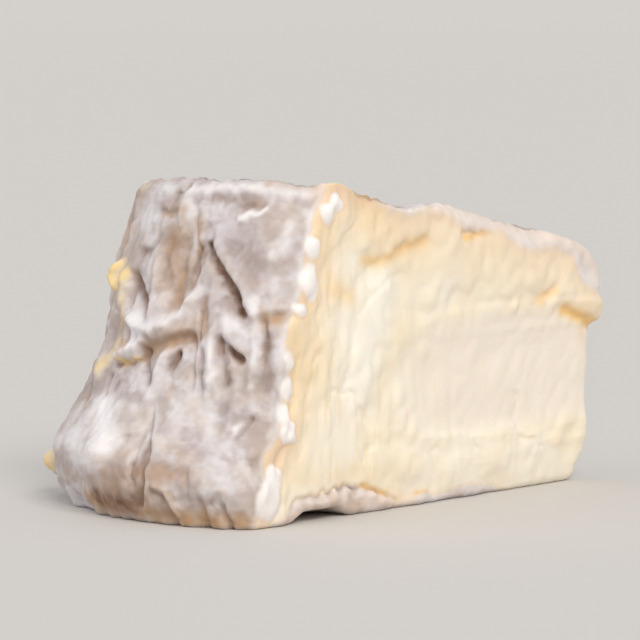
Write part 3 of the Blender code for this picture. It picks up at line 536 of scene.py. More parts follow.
def lobe_edge(lobes, d, z):
    """Distance in millimetres inside the nearest lobe of cut rind, negative outside all of them."""
    wander = np.stack([d, z], -1)
    d = d + 0.2 * waves(wander, 31, 3, 7)
    z = z + 0.2 * waves(wander, 32, 3, 7)
    inside = np.full(d.shape, FAR_FROM_LOBES)
    for (d0, z0), half_d, half_z in lobes:
        away = np.hypot((d - d0) / half_d, (z - z0) / half_z)
        inside = np.maximum(inside, (1 - away) * min(half_d, half_z))
    return inside


def core_share(d, z):
    """1 in the firm core of the cut, 0 in the cream round it."""
    (d0, z0), (half_d, half_z), _ = CORE
    return np.clip(1.35 - np.abs((d - d0) / half_d) ** 2.6 - np.abs((z - z0) / half_z) ** 4, 0, 1)


def cut_relief(lobes, d, z, seed):
    """A cut through soft paste: core set back, cream bulging under the rind, drips drawn by the knife."""
    core = core_share(d, z)
    place = np.stack([d, z], -1)
    drips = (0.02 + 0.06 * step(60, 86, d)) * waves(np.stack([d, z / 6], -1), seed, 2.5, 7)
    soft = (0.2 - 0.12 * core) * waves(place, seed + 1, 8, 22)
    smeared = (0.2 - 0.1 * core) * pillows(np.stack([d, z / 1.4], -1), seed + 2, 5, 11)
    lobe = LOBE_HEIGHT * step(-0.5, 1.2, lobe_edge(lobes, d, z))
    named = folds(CUT_FOLDS, *wandered(d, z, seed + 3, 0.35, 3, 8))
    return named - CORE[2] * core + drips + soft + smeared + lobe


# %% [markdown]
# The mesh
#
# The wedge could be sculpted by hand, or cut out of a voxel block. Here it is a sphere's grid, whose
# columns go once round the outline and whose rows climb from the middle of the foot, up the wall, to
# the middle of the top. Every point knows which face it is on, so that the relief, and later the
# colours, can follow the rind round the corner. The rows and columns are closest where the folds are.

# %% Columns round the outline and rows up the wall
COLUMNS = {NEAR_CUT: 160, NEAR_CORNER: 10, RIND: 176, FAR_CORNER: 8, FAR_CUT: 92, TIP: 36}
FOOT_ROWS, FOOT_TURN_ROWS, WALL_ROWS, TOP_TURN_ROWS, TOP_ROWS = 10, 6, 136, 8, 42
# share of a section passed at each share of its columns: a steeper start or end spreads columns out
SPREAD = {
    NEAR_CUT: [(0, 0), (0.6, 0.72), (1, 1)],
    RIND: [(0, 0), (0.78, 0.66), (1, 1)],
}

section = np.repeat(list(COLUMNS), list(COLUMNS.values()))
share = np.concatenate([
    np.interp(np.arange(n) / n, *np.array(SPREAD.get(key, [(0, 0), (1, 1)]), float).T)
    for key, n in COLUMNS.items()])
nought = np.zeros(len(share))
print("columns:", len(section), "rows:", FOOT_ROWS + FOOT_TURN_ROWS + WALL_ROWS + TOP_TURN_ROWS + TOP_ROWS)


def by_section(default, values):
    """One value for each column, chosen by its section."""
    return np.select([section == key for key in values], list(values.values()), default)


# how much of each face's relief a column takes
grow, fade = step(0, 1, share), 1 - step(0, 1, share)
on_rind = by_section(0.0, {NEAR_CORNER: grow, RIND: 1, FAR_CORNER: fade})
on_near = by_section(0.0, {NEAR_CUT: 1, NEAR_CORNER: fade, TIP: grow})
on_far = by_section(0.0, {FAR_CORNER: grow, FAR_CUT: 1, TIP: fade})
# millimetres round the rind from the near cut, carried on past both corners
corner_start = ROUND_THE_RIND - CORNER_FAR
round_rind = by_section(-CUT_LENGTH, {
    NEAR_CUT: CUT_LENGTH * share - CUT_LENGTH, NEAR_CORNER: CORNER_NEAR * share,
    RIND: CORNER_NEAR + (corner_start - CORNER_NEAR) * share,
    FAR_CORNER: corner_start + CORNER_NEAR * share,
    FAR_CUT: corner_start + CORNER_NEAR + CUT_LENGTH * share})


def along_cuts(flat):
    """Distance from the tip along the near cut and along the far cut, for a plan place."""
    return -flat @ ALONG, -flat @ (ALONG * [1, -1])


# %% Every point of the grid
# Drawn in all the way, the tight nose would fold over itself, so for this share it slides straight back.
NOSE_SLIDE = 0.5
# what is nearer than this belongs to the tip altogether, and what is farther not at all
TIP_WITHIN, TIP_BEYOND = 4, 14
# the height at which a column's distance from the tip is taken, and the first guess of the wall's top
TYPICAL_TOP = 58.0
CUT_SEEDS = {"near": 20, "far": 40}
EVENING_PASSES = 120
# powers that crowd the rows of the foot and of the top towards the wall
FOOT_CROWDING, TOP_CROWDING = 0.7, 1.5
RIM_RELIEF_REACH = 8.0

from_tip, from_tip_far = along_cuts(outline(section, share, nought + TYPICAL_TOP))
at_tip = np.where(on_rind > 0, 0, step(TIP_BEYOND, TIP_WITHIN, np.minimum(from_tip, from_tip_far)))


def face_relief(flat, height):
    """Relief of whichever face each plan place is on, at a height measured along the skin."""
    near_d, far_d = along_cuts(flat)
    relief = (on_rind * rind_relief(round_rind, height)
              + on_near * cut_relief(NEAR_LOBES, near_d, height, CUT_SEEDS["near"])
              + on_far * cut_relief([], far_d, height, CUT_SEEDS["far"]))
    for (crumb_round, crumb_height), half_width, rise in CRUMBS:
        reach = np.hypot(round_rind - crumb_round, height - crumb_height)
        relief += rise * np.exp(-(reach / half_width) ** 3)
    return relief


def evened(z):
    """The same heights without their small changes from column to column."""
    for _ in range(EVENING_PASSES):
        z = (z + np.roll(z, 1) + np.roll(z, -1)) / 3
    return z


def plan(z, inset, height, lean=1.0):
    """Plan place of each column at z, drawn in by inset and out by some of the relief, and the relief."""
    flat, even = outline(section, share, z), outline(section, share, evened(z))
    tangent = np.roll(even, -1, axis=0) - np.roll(even, 1, axis=0)
    outward = np.stack([tangent[:, 1], -tangent[:, 0]], -1) / np.linalg.norm(tangent, axis=-1)[:, None]
    outward *= np.sign(np.sum(outward * (flat - MIDDLE), -1))[:, None]
    relief = face_relief(flat, height)
    slide = NOSE_SLIDE * at_tip * inset
    moved = flat + outward * (lean * relief - inset + slide)[:, None]
    return moved - slide[:, None] * [1, 0], relief


def grid_places():
    """Every point of the grid and its relief, by column, from the middle of the foot to that of the top."""
    top_round = (RIM_ROUNDING * on_rind + on_near * curve(NEAR_TOP_ROUNDING, from_tip)
                 + on_far * curve(FAR_TOP_ROUNDING, from_tip_far))
    tip_round = TIP_TOP_ROUNDING + (NEAR_TOP_ROUNDING[0][1] - TIP_TOP_ROUNDING) * (2 * share - 1) ** 2
    top_round = np.where(section == TIP, tip_round, top_round)
    foot_round = FOOT_ROUNDING + (TIP_FOOT_ROUNDING - FOOT_ROUNDING) * at_tip
    quarter = np.pi / 2

    # the wall's lowest and highest heights depend on where its edges fall, so they are settled in rounds
    low, high = foot_round, nought + TYPICAL_TOP
    for _ in range(3):
        foot_edge, _ = plan(low, foot_round, low)
        top_edge, _ = plan(high, top_round, high + quarter * top_round, 0)
        low = foot_height(*foot_edge.T) + foot_round
        high = top_height(*top_edge.T) - top_round

    rows = []
    for part in (np.arange(FOOT_ROWS) / FOOT_ROWS) ** FOOT_CROWDING:
        flat = MIDDLE + (foot_edge - MIDDLE) * part
        rows.append((flat, foot_height(*flat.T), nought))
    for turn in np.linspace(0, quarter, FOOT_TURN_ROWS, endpoint=False):
        flat, relief = plan(low, foot_round * (1 - np.sin(turn)), low)
        rows.append((flat, low - foot_round * np.cos(turn), relief))
    for part in np.linspace(0, 1, WALL_ROWS):
        z = low + (high - low) * part
        flat, relief = plan(z, nought, z)
        rows.append((flat, z, relief))
    # over the rim the skin's relief goes on, and stands up from the surface as that turns level
    for turn in np.linspace(0, quarter, TOP_TURN_ROWS + 1)[1:]:
        flat, relief = plan(high, top_round * (1 - np.cos(turn)), high + top_round * turn, np.cos(turn))
        wrinkled = RIM_RELIEF * on_rind * relief + np.sin(turn) * top_wrinkles(flat)
        rows.append((flat, high + np.sin(turn) * (top_round + wrinkled), relief))
    for part in 1 - (np.arange(1, TOP_ROWS + 1) / TOP_ROWS) ** TOP_CROWDING:
        flat = MIDDLE + (top_edge - MIDDLE) * part
        beyond_rim = (1 - part) * np.linalg.norm(top_edge - MIDDLE, axis=-1)
        from_rim = on_rind * rind_relief(round_rind, high + quarter * top_round + beyond_rim)
        relief = top_wrinkles(flat) + RIM_RELIEF * from_rim * step(RIM_RELIEF_REACH, 0, beyond_rim)
        rows.append((flat, top_height(*flat.T) + relief, relief))
    return (np.stack([np.column_stack([flat, np.maximum(z, 0)]) for flat, z, _ in rows], 1),
            np.stack([relief for _, _, relief in rows], 1))


places, relief = grid_places()
columns, rows = places.shape[:2]
print("grid, in millimetres:", (places.max((0, 1)) - places.min((0, 1))).round(1))

# %% Roll a flat grid up into the wedge
# The grid has one column more than the outline, so that its two sides meet and are welded. Its first and
# last rows each shrink to a point, which closes the middle of the foot and the middle of the top.
WELD_DISTANCE = 1e-6

bm = bmesh.new()
bmesh.ops.create_grid(bm, x_segments=columns, y_segments=rows - 1, size=1.0)
flat_grid = np.array([vert.co for vert in bm.verts])
column_at = np.round((flat_grid[:, 0] + 1) / 2 * columns).astype(int) % columns
row_at = np.round((flat_grid[:, 1] + 1) / 2 * (rows - 1)).astype(int)
column_layer = bm.verts.layers.int.new("column")
row_layer = bm.verts.layers.int.new("row")
placed = (places[column_at, row_at] - [*ROW_ORIGIN, 0]) * MM
for vert, place, column, row in zip(bm.verts, placed, column_at.tolist(), row_at.tolist()):
    vert.co = place
    vert[column_layer] = column
    vert[row_layer] = row
rim_of_grid = [vert for vert in bm.verts if vert.is_boundary]
bmesh.ops.remove_doubles(bm, verts=rim_of_grid, dist=WELD_DISTANCE)
bmesh.ops.recalc_face_normals(bm, faces=bm.faces)
for face in bm.faces:
    face.smooth = True
wedge_mesh = bpy.data.meshes.new("cheese")
bm.to_mesh(wedge_mesh)
bm.free()
wedge = bpy.data.objects.new("cheese", wedge_mesh)
scene.collection.objects.link(wedge)


def point_numbers(name):
    """The whole number that each point keeps under a name."""
    numbers = np.zeros(len(wedge_mesh.vertices), np.int32)
    wedge_mesh.attributes[name].data.foreach_get("value", numbers)
    wedge_mesh.attributes.remove(wedge_mesh.attributes[name])
    return numbers


column_of, row_of = point_numbers("column"), point_numbers("row")
print("triangles:", sum(len(face.vertices) - 2 for face in wedge_mesh.polygons))

# %% [markdown]
# What the material has to know
#
# The surface changes from grey-white skin to cream within a millimetre, along edges that follow the
# cut and not the space around it. So the mesh carries a few named measures at its points: how far
# inside the rind a point is, how deep it lies in a fold, and how strong each named stain, painted shade
# and painted highlight is there. The material turns them into colour, painting shade into the folds,
# and adds the grain that is finer than the mesh.

# %% How far a point is inside the rind
# the grey rind ends at these places of the near cut: (height, distance from the tip)
NEAR_RIND_ENDS = [(0, 109.5), (5, 107.8), (8.8, 106.4), (11.7, 106.6), (14.4, 106.4), (18.1, 103.1),
                  (25.9, 101.5), (31.8, 99.4), (36.9, 100.6), (39.9, 100), (43.7, 97.9), (47.6, 95.4),
                  (53.2, 94.8), (58.6, 92.9), (62.6, 91.7), (66.5, 88.6), (70, 86)]
# lower edge of the top's skin where it turns down over the cuts: (distance from the tip, height)
TOP_SKIN_ENDS = [(-6.4, 41.5), (-3.8, 41.6), (0, 43.2), (3.4, 44.4), (5.6, 49.2), (8.5, 51.2), (13, 52.2),
                 (20.2, 52.4), (27.4, 54.6), (29.2, 56.4), (34.5, 57.1), (42.5, 57.9), (48.3, 60.9),
                 (53.4, 62.1), (61.8, 61.4), (69.4, 63.4), (76, 68), (120, 71)]
# upper edge of the skin of the underside where it shows below the near cut
FOOT_SKIN_ENDS = [(-9, -1), (26, -0.5), (29, 0.7), (36, 2.1), (40.4, 2.7), (45, 2.3), (52, 1.5), (55, 2.2),
                  (58.5, 2.2), (62, 1.3), (65, 1.6), (68.4, 3), (71.6, 4.1), (75.8, 5.4), (78, 6.2),
                  (82, 6.4), (84.5, 5.8), (89, 5.3), (95.4, 4.9), (99, 3), (103, 0.5), (120, -1)]
FAR_RIND_DEPTH = 1.6
ALL_SKIN = 3.0
ALL_PASTE = -20.0

z = places[..., 2]
near_d, far_d = along_cuts(places[..., :2])
a = np.broadcast_to(round_rind[:, None], z.shape)
in_section = np.broadcast_to(section[:, None], z.shape)
row_number = np.broadcast_to(np.arange(rows), z.shape)
top_start = FOOT_ROWS + FOOT_TURN_ROWS + WALL_ROWS + TOP_TURN_ROWS


def inside_skin(d, rind_ends):
    """Distance inside the rind, the top's skin or the foot's skin on a cut, negative in the paste."""
    above_foot = z - curve(FOOT_SKIN_ENDS, d)
    above_foot = np.where(above_foot > 1, 3 * above_foot - 2, above_foot)
    below_top = curve(TOP_SKIN_ENDS, d) - z
    below_top = np.where(below_top < 2.5, 0.4 * below_top, below_top - 1.5)
    return np.maximum.reduce([d - rind_ends, -below_top, -above_foot])


near_skin = inside_skin(near_d, curve(NEAR_RIND_ENDS, z))
far_skin = inside_skin(far_d, curve(FAR_EDGE, z) - FAR_RIND_DEPTH)
over_corner = ALL_SKIN * share[:, None]
skin = np.select(
    [in_section == key for key in (NEAR_CUT, NEAR_CORNER, RIND, FAR_CORNER, FAR_CUT)],
    [near_skin, near_skin + over_corner, ALL_SKIN, far_skin + ALL_SKIN - over_corner, far_skin],
    np.minimum(near_skin, far_skin))
skin = np.where((row_number < FOOT_ROWS) | (row_number >= top_start), ALL_SKIN, skin)
skin = np.clip(skin, ALL_PASTE, ALL_SKIN)

# %% How deep a point lies in a fold, which the material paints as shade
# the depth of each point below the average of its neighbours, which many small averagings widen
AVERAGINGS = 40
DEEPEST, HIGHEST = 3, -2

around = relief.copy()
for _ in range(AVERAGINGS):
    around = (around + np.roll(around, 1, 0) + np.roll(around, -1, 0)) / 3
    around[:, 1:-1] = (around[:, 2:] + around[:, 1:-1] + around[:, :-2]) / 3
hollow = np.clip(around - relief, HIGHEST, DEEPEST)

# %% Stains of the rind, with painted shade and painted light
# points (round the rind, height), half width, strength
# brown of damp mould in the creases and pits, partly painted shade there
BROWN_STAINS_AND_CREASE_SHADE = [
    ([(22.9, 56), (19.4, 52.4), (16.2, 49.4), (12.8, 46), (10.8, 42.8)], 0.9, 0.95),
    ([(25.2, 55), (25.5, 51), (25, 47.6)], 1.2, 0.7),
    ([(46, 48.2), (42.5, 46), (39.4, 44.3), (36.8, 42.2)], 1.4, 0.5),
    ([(36, 54), (34.6, 51), (35, 48.5)], 1.2, 0.3),
    ([(36.5, 57), (33.5, 54.8), (30, 52)], 1.8, 0.35),
    ([(11.4, 35.4), (9.6, 34)], 0.9, 0.8),
    ([(12.6, 35), (11.4, 32), (10.8, 29)], 0.9, 0.5),
    ([(29.5, 38), (24.2, 37.8)], 1.3, 0.3),
    ([(24, 33.6), (24.6, 31.5)], 0.9, 0.6),
    ([(33, 31.8), (30, 28)], 0.9, 0.4),
    ([(40.4, 26.8), (40, 25.8)], 0.7, 0.4),
    ([(25.4, 20), (23, 16.2), (21.6, 12.8), (21.3, 9), (22.8, 3.8)], 0.8, 0.5),
    ([(28, 11), (25, 8)], 2.4, 0.15),
    # painted shade at the foot, under the belly
    ([(36, 4.2), (30, 4), (25, 4.6)], 2.4, 0.85),
    ([(24, 12.5), (22.6, 8), (23.4, 4)], 1, 0.45),
    ([(18.6, 6.4), (17.6, 3.4)], 1.6, 0.4),
    ([(6.8, 6.5), (6.4, 3)], 0.7, 0.4),
    ([(4.6, 41), (3.4, 36), (3, 28)], 0.7, 0.4),
    ([(1.2, 13.5), (0.3, 17)], 0.6, 0.8),
    ([(39.8, 66.4), (38.5, 64)], 1, 0.5),
    ([(26.5, 66), (22, 65.2), (15, 64)], 0.8, 0.4),
]
# tan of damp mould; in the creases and hollows it is partly painted shade
TAN_STAINS_AND_CREASE_SHADE = [
    ([(4.5, 42), (0, 42.2)], 1.9, 1.1),
    ([(36, 56), (32, 52), (28, 47.5)], 4.4, 0.7),
    ([(42.5, 62), (39.2, 62.3), (35.5, 62)], 1.1, 0.6),
    ([(28.6, 61), (26.6, 57), (26, 54.5)], 1, 0.7),
    ([(20.3, 41.8), (19.2, 37.5)], 0.6, 0.6),
    ([(19.3, 20.6), (18.5, 17.5), (18, 14.8)], 1, 0.2),
    ([(14, 13.2), (12.2, 10)], 2.4, 0.35),
    ([(18, 8), (15.4, 6), (15, 2)], 0.9, 0.6),
    # partly painted shade along the foot, where the wall turns under
    ([(0, 1.6), (14, 1.8), (26, 2.8), (40, 3)], 2.2, 1),
    ([(23.8, 27.2), (22.8, 25)], 0.9, 0.35),
    ([(43, 31.2), (39.4, 31.2), (36.2, 32)], 0.7, 0.9),
    ([(63, 62), (62, 40), (64, 20)], 4, 0.55),
    ([(47, 40), (44, 36.5), (42.2, 34.4)], 1.5, 0.8),
    ([(33.5, 34.4), (30, 35.8), (26, 37), (22.6, 38)], 2.3, 0.8),
    ([(19.4, 45.5), (18.8, 42), (18.6, 38.6)], 1.1, 0.75),
    ([(17.6, 42), (17.2, 38)], 1, 0.35),
    ([(36.8, 64), (34, 62.4)], 1.2, 0.5),
    ([(14, 69.4), (8, 69.2), (0, 68.6)], 1.3, 0.5),
    ([(0, 71), (30, 72), (70, 71)], 2, 0.4),
    # tan low on the foot, partly painted shade, in this line and the next
    ([(34, 6), (27, 7), (21, 6)], 3.2, 0.6),
    ([(31, 9.6), (28.5, 9.4), (24.5, 10), (19.5, 10.6), (15.5, 10.8)], 2.4, 0.55),
    ([(28.6, 14), (26.6, 13.6)], 1.5, 0.4),
    ([(4.6, 7.8)], 0.8, 0.5),
    ([(2, 8)], 0.8, 0.5),
    ([(2.2, 20), (0.6, 16)], 1.2, 0.2),
]
# paste smeared over the far side of the rind
PASTE_STAINS = [
    ([(50, 46.6), (48.4, 43.2), (46.6, 40)], 1.5, 0.5),
    ([(46.4, 34.2), (48.8, 31.6), (50.6, 29)], 1.5, 0.8),
    ([(42.8, 31.7), (39.8, 31.5), (37, 32.6)], 0.5, 0.7),
    ([(12, 70.5), (4, 70.4)], 1, 0.3),
    ([(62, 69), (58, 66)], 1.5, 0.4),
]
# mauve-grey where the mould is thin; in creases and pits it is partly painted shade
MAUVE_TINTS_AND_CREASE_SHADE = [
    ([(46, 48.2), (42.5, 46), (39.4, 44.3), (36.8, 42.2)], 1.8, 0.7),
    ([(24, 65.5), (19.2, 64.6), (14.5, 64)], 1.4, 0.4),
    ([(11, 27.5), (9.2, 25), (9.6, 21)], 1.6, 0.5),
    ([(11, 55.5), (9.8, 52.5), (8.8, 49.5)], 1.6, 0.5),
    ([(17.3, 34), (16.2, 29)], 1.2, 0.6),
    ([(14, 62), (16, 57), (10, 52)], 5, 0.65),
    ([(7, 60), (3.6, 57), (3.4, 51)], 1.4, 0.45),
    ([(20.8, 52), (17.4, 47.5), (14, 43.5)], 1.8, 0.5),
    ([(13.5, 36.6), (12.4, 33)], 1.8, 0.5),
    ([(33, 34), (30.5, 31)], 1.6, 0.7),
    ([(3, 20.5), (0.8, 16)], 1.6, 0.6),
    ([(40.2, 26.6)], 1.1, 0.9),
    ([(30, 10.4), (24.5, 11), (19.5, 11.2), (16, 11)], 2.8, 0.7),
    ([(12.6, 16.6), (10.6, 14.6)], 2, 0.5),
    ([(40.6, 61.2), (37, 60)], 2, 0.25),
    ([(44, 26), (40, 26), (36, 25.5)], 2.2, 0.45),
    ([(44, 9), (36, 9), (29, 8)], 2.8, 0.4),
    ([(10, 26), (9.5, 23)], 1.4, 0.5),
    ([(14, 12), (11, 9)], 2.4, 0.5),
    ([(60, 60), (60, 20)], 5, 0.5),
]
# white of thick mould; some are painted highlights and some painted light, as marked below
WHITE_PATCHES_AND_PAINTED_LIGHT = [
    ([(42, 40.8), (37, 39.4), (32.6, 39), (28.6, 40.6), (25.8, 43), (23.4, 46.4)], 1.8, 0.9),
    ([(16.6, 43), (15.8, 40)], 1.3, 0.35),
    ([(13, 41), (11, 40), (8.5, 38.4)], 1.5, 0.8),
    # white mould and painted light on the bulge of the foot, which is turned up to the light, and below it
    ([(42, 22.5), (38.5, 19.8), (34.5, 16.6), (33.2, 15.4)], 3.2, 1),
    ([(46, 16), (42, 12.5), (36, 12)], 3.4, 0.6),
    ([(25, 13.5), (24.6, 9), (25.2, 5)], 0.8, 0.4),
    ([(20.8, 11.5), (20.4, 7), (20.2, 4)], 0.6, 0.4),
    ([(43.4, 33), (40.2, 34), (36, 35.6)], 1.2, 0.95),
    ([(28.5, 26), (25.6, 22), (24.2, 18.5)], 1.6, 0.7),
    ([(14.4, 26), (13, 22), (11.4, 19)], 1.8, 0.5),
    ([(21, 23.5), (20, 20.5), (18.3, 18)], 1.8, 0.4),
    ([(8.8, 29), (10, 27), (13, 26.3), (17.2, 26.2)], 1.6, 0.3),
    ([(8.2, 45.5), (6.2, 40), (5.8, 33)], 0.9, 0.7),
    ([(1, 40), (0.7, 30)], 1, 0.9),
    ([(16.4, 39), (14.6, 33), (14, 28)], 0.8, 0.7),
    ([(26.6, 33), (27.6, 29)], 0.9, 0.5),
    ([(6.5, 19.8)], 1, 1),
    ([(8, 11), (7, 8.5)], 1.8, 0.4),
    ([(5, 49), (3.4, 47), (4.5, 44)], 1.7, 0.45),
    # painted highlights: wet glints under the rim and along its top edge
    ([(17.5, 61.6), (14, 62.5), (11.5, 63.6)], 0.7, 1),
    ([(46, 67), (33, 67), (28, 67.6), (18, 68), (12, 67.4)], 1.2, 0.85),
    ([(13, 67.4), (8, 67), (3, 66.8)], 1.6, 0.7),
    ([(31, 22), (28, 18.5), (27, 14)], 2.6, 0.25),
    ([(5, 60), (4.4, 57), (6.6, 55.4)], 1.7, 0.7),
    # painted light on the far part of the rind, which faces away from the lamps
    ([(54, 62), (44, 57), (38, 52)], 3.4, 0.35),
    ([(5, 9.5), (2.5, 8), (0.5, 6)], 2, 0.5),
    ([(34, 65), (31.5, 62.5)], 1.3, 0.7),
    # painted light on the far part of the rind
    ([(46, 58), (40, 53)], 2.6, 0.35),
]


def strength_of(stains, a, z):
    """Strength of the strongest stain, painted shade or painted light at each place, from 0 to about 1."""
    total = np.zeros(a.shape)
    for path, half_width, strength in stains:
        distance = along_path(path, a, z)[0]
        total = np.maximum(total, strength * np.exp(-(distance / half_width) ** 2))
    return total


# the stains and painted shade fade within this distance past the edge of the top, and reach this far past a
# crumb
STAIN_FADE = 4.0
CRUMB_MARGIN = 0.4

top_edge = places[:, top_start - 1, :2]
from_edge = np.linalg.norm(places[..., :2] - top_edge[:, None], axis=-1)
near_wall = np.exp(-(np.where(row_number < top_start, 0, from_edge) / STAIN_FADE) ** 2)
wall_share = on_rind[:, None] * near_wall
stained_at = wandered(a, z, 51, 0.25, 2.5, 7)
streaks = np.clip(0.9 + 0.12 * waves(np.stack([a, z / 3], -1), 53, 2.5, 7), 0.3, 1.2)
brown, tan, mauve, white, paste_on_rind = [
    strength_of(stains, *stained_at) * wall_share
    for stains in (BROWN_STAINS_AND_CREASE_SHADE, TAN_STAINS_AND_CREASE_SHADE, MAUVE_TINTS_AND_CREASE_SHADE, WHITE_PATCHES_AND_PAINTED_LIGHT, PASTE_STAINS)]
crumb = np.max([np.exp(-(np.hypot(a - a0, z - z0) / (half_width + CRUMB_MARGIN)) ** 4)
                for (a0, z0), half_width, _ in CRUMBS] + [paste_on_rind], axis=0)

# %% Lines, smears and tints of the cuts, with painted shade in their creases
# points (distance from the tip, height), half width, strength
# orange lines in the creases of the cuts, partly painted shade
CUT_LINES_AND_CREASE_SHADE = [
    ([(75.8, 52.6), (70, 52.4), (65.1, 54.3), (60.1, 55.5), (56.1, 55.9)], 1.4, 0.6),
    ([(84.5, 47), (80, 45.4)], 2.2, 0.4),
    ([(42.8, 56), (35.2, 57.3)], 0.8, 1),
    # painted shadow in the crease under the lip at the tip
    ([(9.5, 38.8), (4, 37), (-2, 34.8), (-8, 34.4)], 1.5, 0.9),
    ([(18.4, 41.1), (13, 43)], 1.2, 0.5),
    ([(82.5, 6.8)], 0.7, 0.8),
    ([(76, 6), (72, 4.6), (68.6, 3.4)], 0.7, 0.8),
    ([(58.5, 2.6), (55.5, 2.6)], 0.7, 0.7),
]
SMEARS = [([(79.7, 38.6), (77.5, 46)], 3, 0.8), ([(71, 47), (74.5, 36), (78, 27)], 5.5, 1)]
PEACH = [([(95, 66), (80, 68.5), (73, 66)], 3, 0.9), ([(104, 14), (101, 16)], 2.6, 0.7),
         ([(70, 65), (50, 64), (36, 61), (20, 57), (4, 54), (-6, 45)], 3, 0.45),
         ([(100, 1), (85, 3.5), (60, 1.5)], 2.2, 0.4), ([(110, 1.5), (106, 1)], 2, 0.6)]

DRIPS_FROM_TO = (50, 76)

on_cuts = (on_near + on_far)[:, None]
cut_d = np.where(on_far[:, None] > on_near[:, None], far_d, near_d)
line = strength_of(CUT_LINES_AND_CREASE_SHADE, cut_d, z) * on_cuts
smear = strength_of(SMEARS, cut_d, z) * on_cuts
peach = strength_of(PEACH, cut_d, z) * on_cuts * near_wall
core = core_share(cut_d, z) * on_cuts
# the blade draws drips down the part of a cut that is beside the rind
drip = step(*DRIPS_FROM_TO, cut_d) * on_cuts
white = np.maximum(white, 0.55 * step(-0.5, 1, skin) * step(40, 44, z) * on_cuts * near_wall)
lobes = np.where(on_near[:, None] > 0, lobe_edge(NEAR_LOBES, near_d, z), FAR_FROM_LOBES)

# %% Store the measures on the mesh
MEASURES = {"skin": skin, "hollow": hollow, "brown": brown * streaks, "tan": tan * streaks,
            "mauve": mauve, "white": white, "crumb": crumb, "line": line, "drip": drip,
            "smear": smear, "peach": peach, "core": core, "lobes": np.clip(lobes, -3, 3)}
for name, values in MEASURES.items():
    attribute = wedge_mesh.attributes.new(name, "FLOAT", "POINT")
    attribute.data.foreach_set("value", values[column_of, row_of].astype(np.float32))
    print(name, "from", round(float(values.min()), 2), "to", round(float(values.max()), 2))

# %% [markdown]
# Rind and paste in one material
#
# The rind is a felt of mould over dried paste. It is matt, white where the mould is thick on the
# ridges, grey where it is thin, and tan or brown in the creases, partly where it stays damp and partly
# as painted shade. Some white patches are painted highlights and painted light. The paste is fat and
# water: cream coloured, a little shiny and translucent, more yellow in the ripe cream line than in the
# core. Two materials would meet in a hard stair-stepped line, so one material mixes both by the
# measures above, with a noise that makes the meeting line ragged.

# %% Material of the cheese
cheese_finish, tree, output = new_material("mould rind over ripe cream paste")
where = add(tree, "TexCoord").outputs["Object"]


def measure(name):
    """A measure of the mesh, as a number."""
    return add(tree, "Attribute", attribute_name=name).outputs["Fac"]


def noise(size_mm, detail=2.0, roughness=0.5, stretch=(1, 1, 1)):
    """Noise between 0 and 1 whose blotches are about size_mm across."""
    spot = where
    if stretch != (1, 1, 1):
        spot = add(tree, "Mapping", {"Vector": where, "Scale": stretch}).outputs[0]
    return add(tree, "TexNoise", {"Vector": spot, "Scale": 1 / (size_mm * MM), "Detail": detail,
                                  "Roughness": roughness}).outputs["Fac"]


def ramp(value, low, high, start=0.0, end=1.0):
    """Smooth step of a value from start at low to end at high."""
    return add(tree, "MapRange", {"Value": value, "From Min": low, "From Max": high, "To Min": start,
                                  "To Max": end}, interpolation_type="SMOOTHSTEP").outputs[0]


def maths(operation, a, b=0.0):
    """One sum, product or the like."""
    return add(tree, "Math", {0: a, 1: b}, operation=operation).outputs[0]


def times(a, b):
    """Product of two numbers."""
    return maths("MULTIPLY", a, b)


def mix(share, first, second):
    """Colour that goes from the first to the second."""
    return add(tree, "Mix", {0: share, 6: first, 7: second}, data_type="RGBA").outputs[2]


def layered(colour, layers):
    """Colour under layers, each a share from 0 to 1 and an sRGB code, in their order."""
    for amount, code in layers:
        colour = mix(amount, colour, srgb(code))
    return colour


crease_shade_depth = measure("hollow")
wide = (1, 0.55, 1)
blotch = noise(8, 3, 0.55, wide)
speck = noise(1.4, 3, 0.6)
marbling = noise(4, 3, 0.5, wide)
wrinkle = noise(2.6, 2, 0.5, wide)
warmth = noise(6, 3, 0.55, wide)
ragged = times(maths("SUBTRACT", noise(1.6, 2), 0.5), 1.2)
skin_in = maths("ADD", measure("skin"), ragged)

# rind: pale grey, white where the mould is thick, with painted highlights and painted light, mauve where it
# is thin, tan and brown where it stays damp, and painted shade in the hollows and creases
# the bloom is whiter on the ridges and dimmed in the hollows: painted shade
bloom_dimmed_by_crease_shade = maths("ADD", times(crease_shade_depth, -0.45), ramp(blotch, 0.3, 0.7, 0.2, 0.8))
bloom_dimmed_by_crease_shade = maths("ADD", bloom_dimmed_by_crease_shade, ramp(marbling, 0.3, 0.7, -0.35, 0.35))
rind_colour = layered(srgb("b8aba7"), [
    (ramp(bloom_dimmed_by_crease_shade, 0.0, 1.0), "d9d3d4"),
    (ramp(warmth, 0.42, 0.66, 0.0, 0.35), "d3bfa9"),
    (ramp(wrinkle, 0.5, 0.2, 0.0, 0.4), "a89a90"),
    # mauve of thin mould, partly painted shade in the creases and pits
    (times(measure("mauve"), 0.8), "a89692"),
    # white patches: thick mould, with some painted highlights and painted light
    (measure("white"), "eeeaea"),
    (times(ramp(measure("skin"), 2.4, 0.3), 0.6), "f1e9e5"),
    # painted shade: brown darkening in the hollows of the folds, partly the damp brown of the creases
    (times(ramp(crease_shade_depth, 0.2, 1.4), 0.6), "9c765b"),
    # tan and brown stains, partly painted shade in the creases and at the foot
    (times(measure("tan"), ramp(blotch, 0.25, 0.6, 0.6, 1.1)), "bd9a76"),
    (times(measure("brown"), ramp(speck, 0.3, 0.6, 0.8, 1.1)), "6e4930"),
    (measure("crumb"), "efd498"),
    (measure("peach"), "ecd3ba"),
])

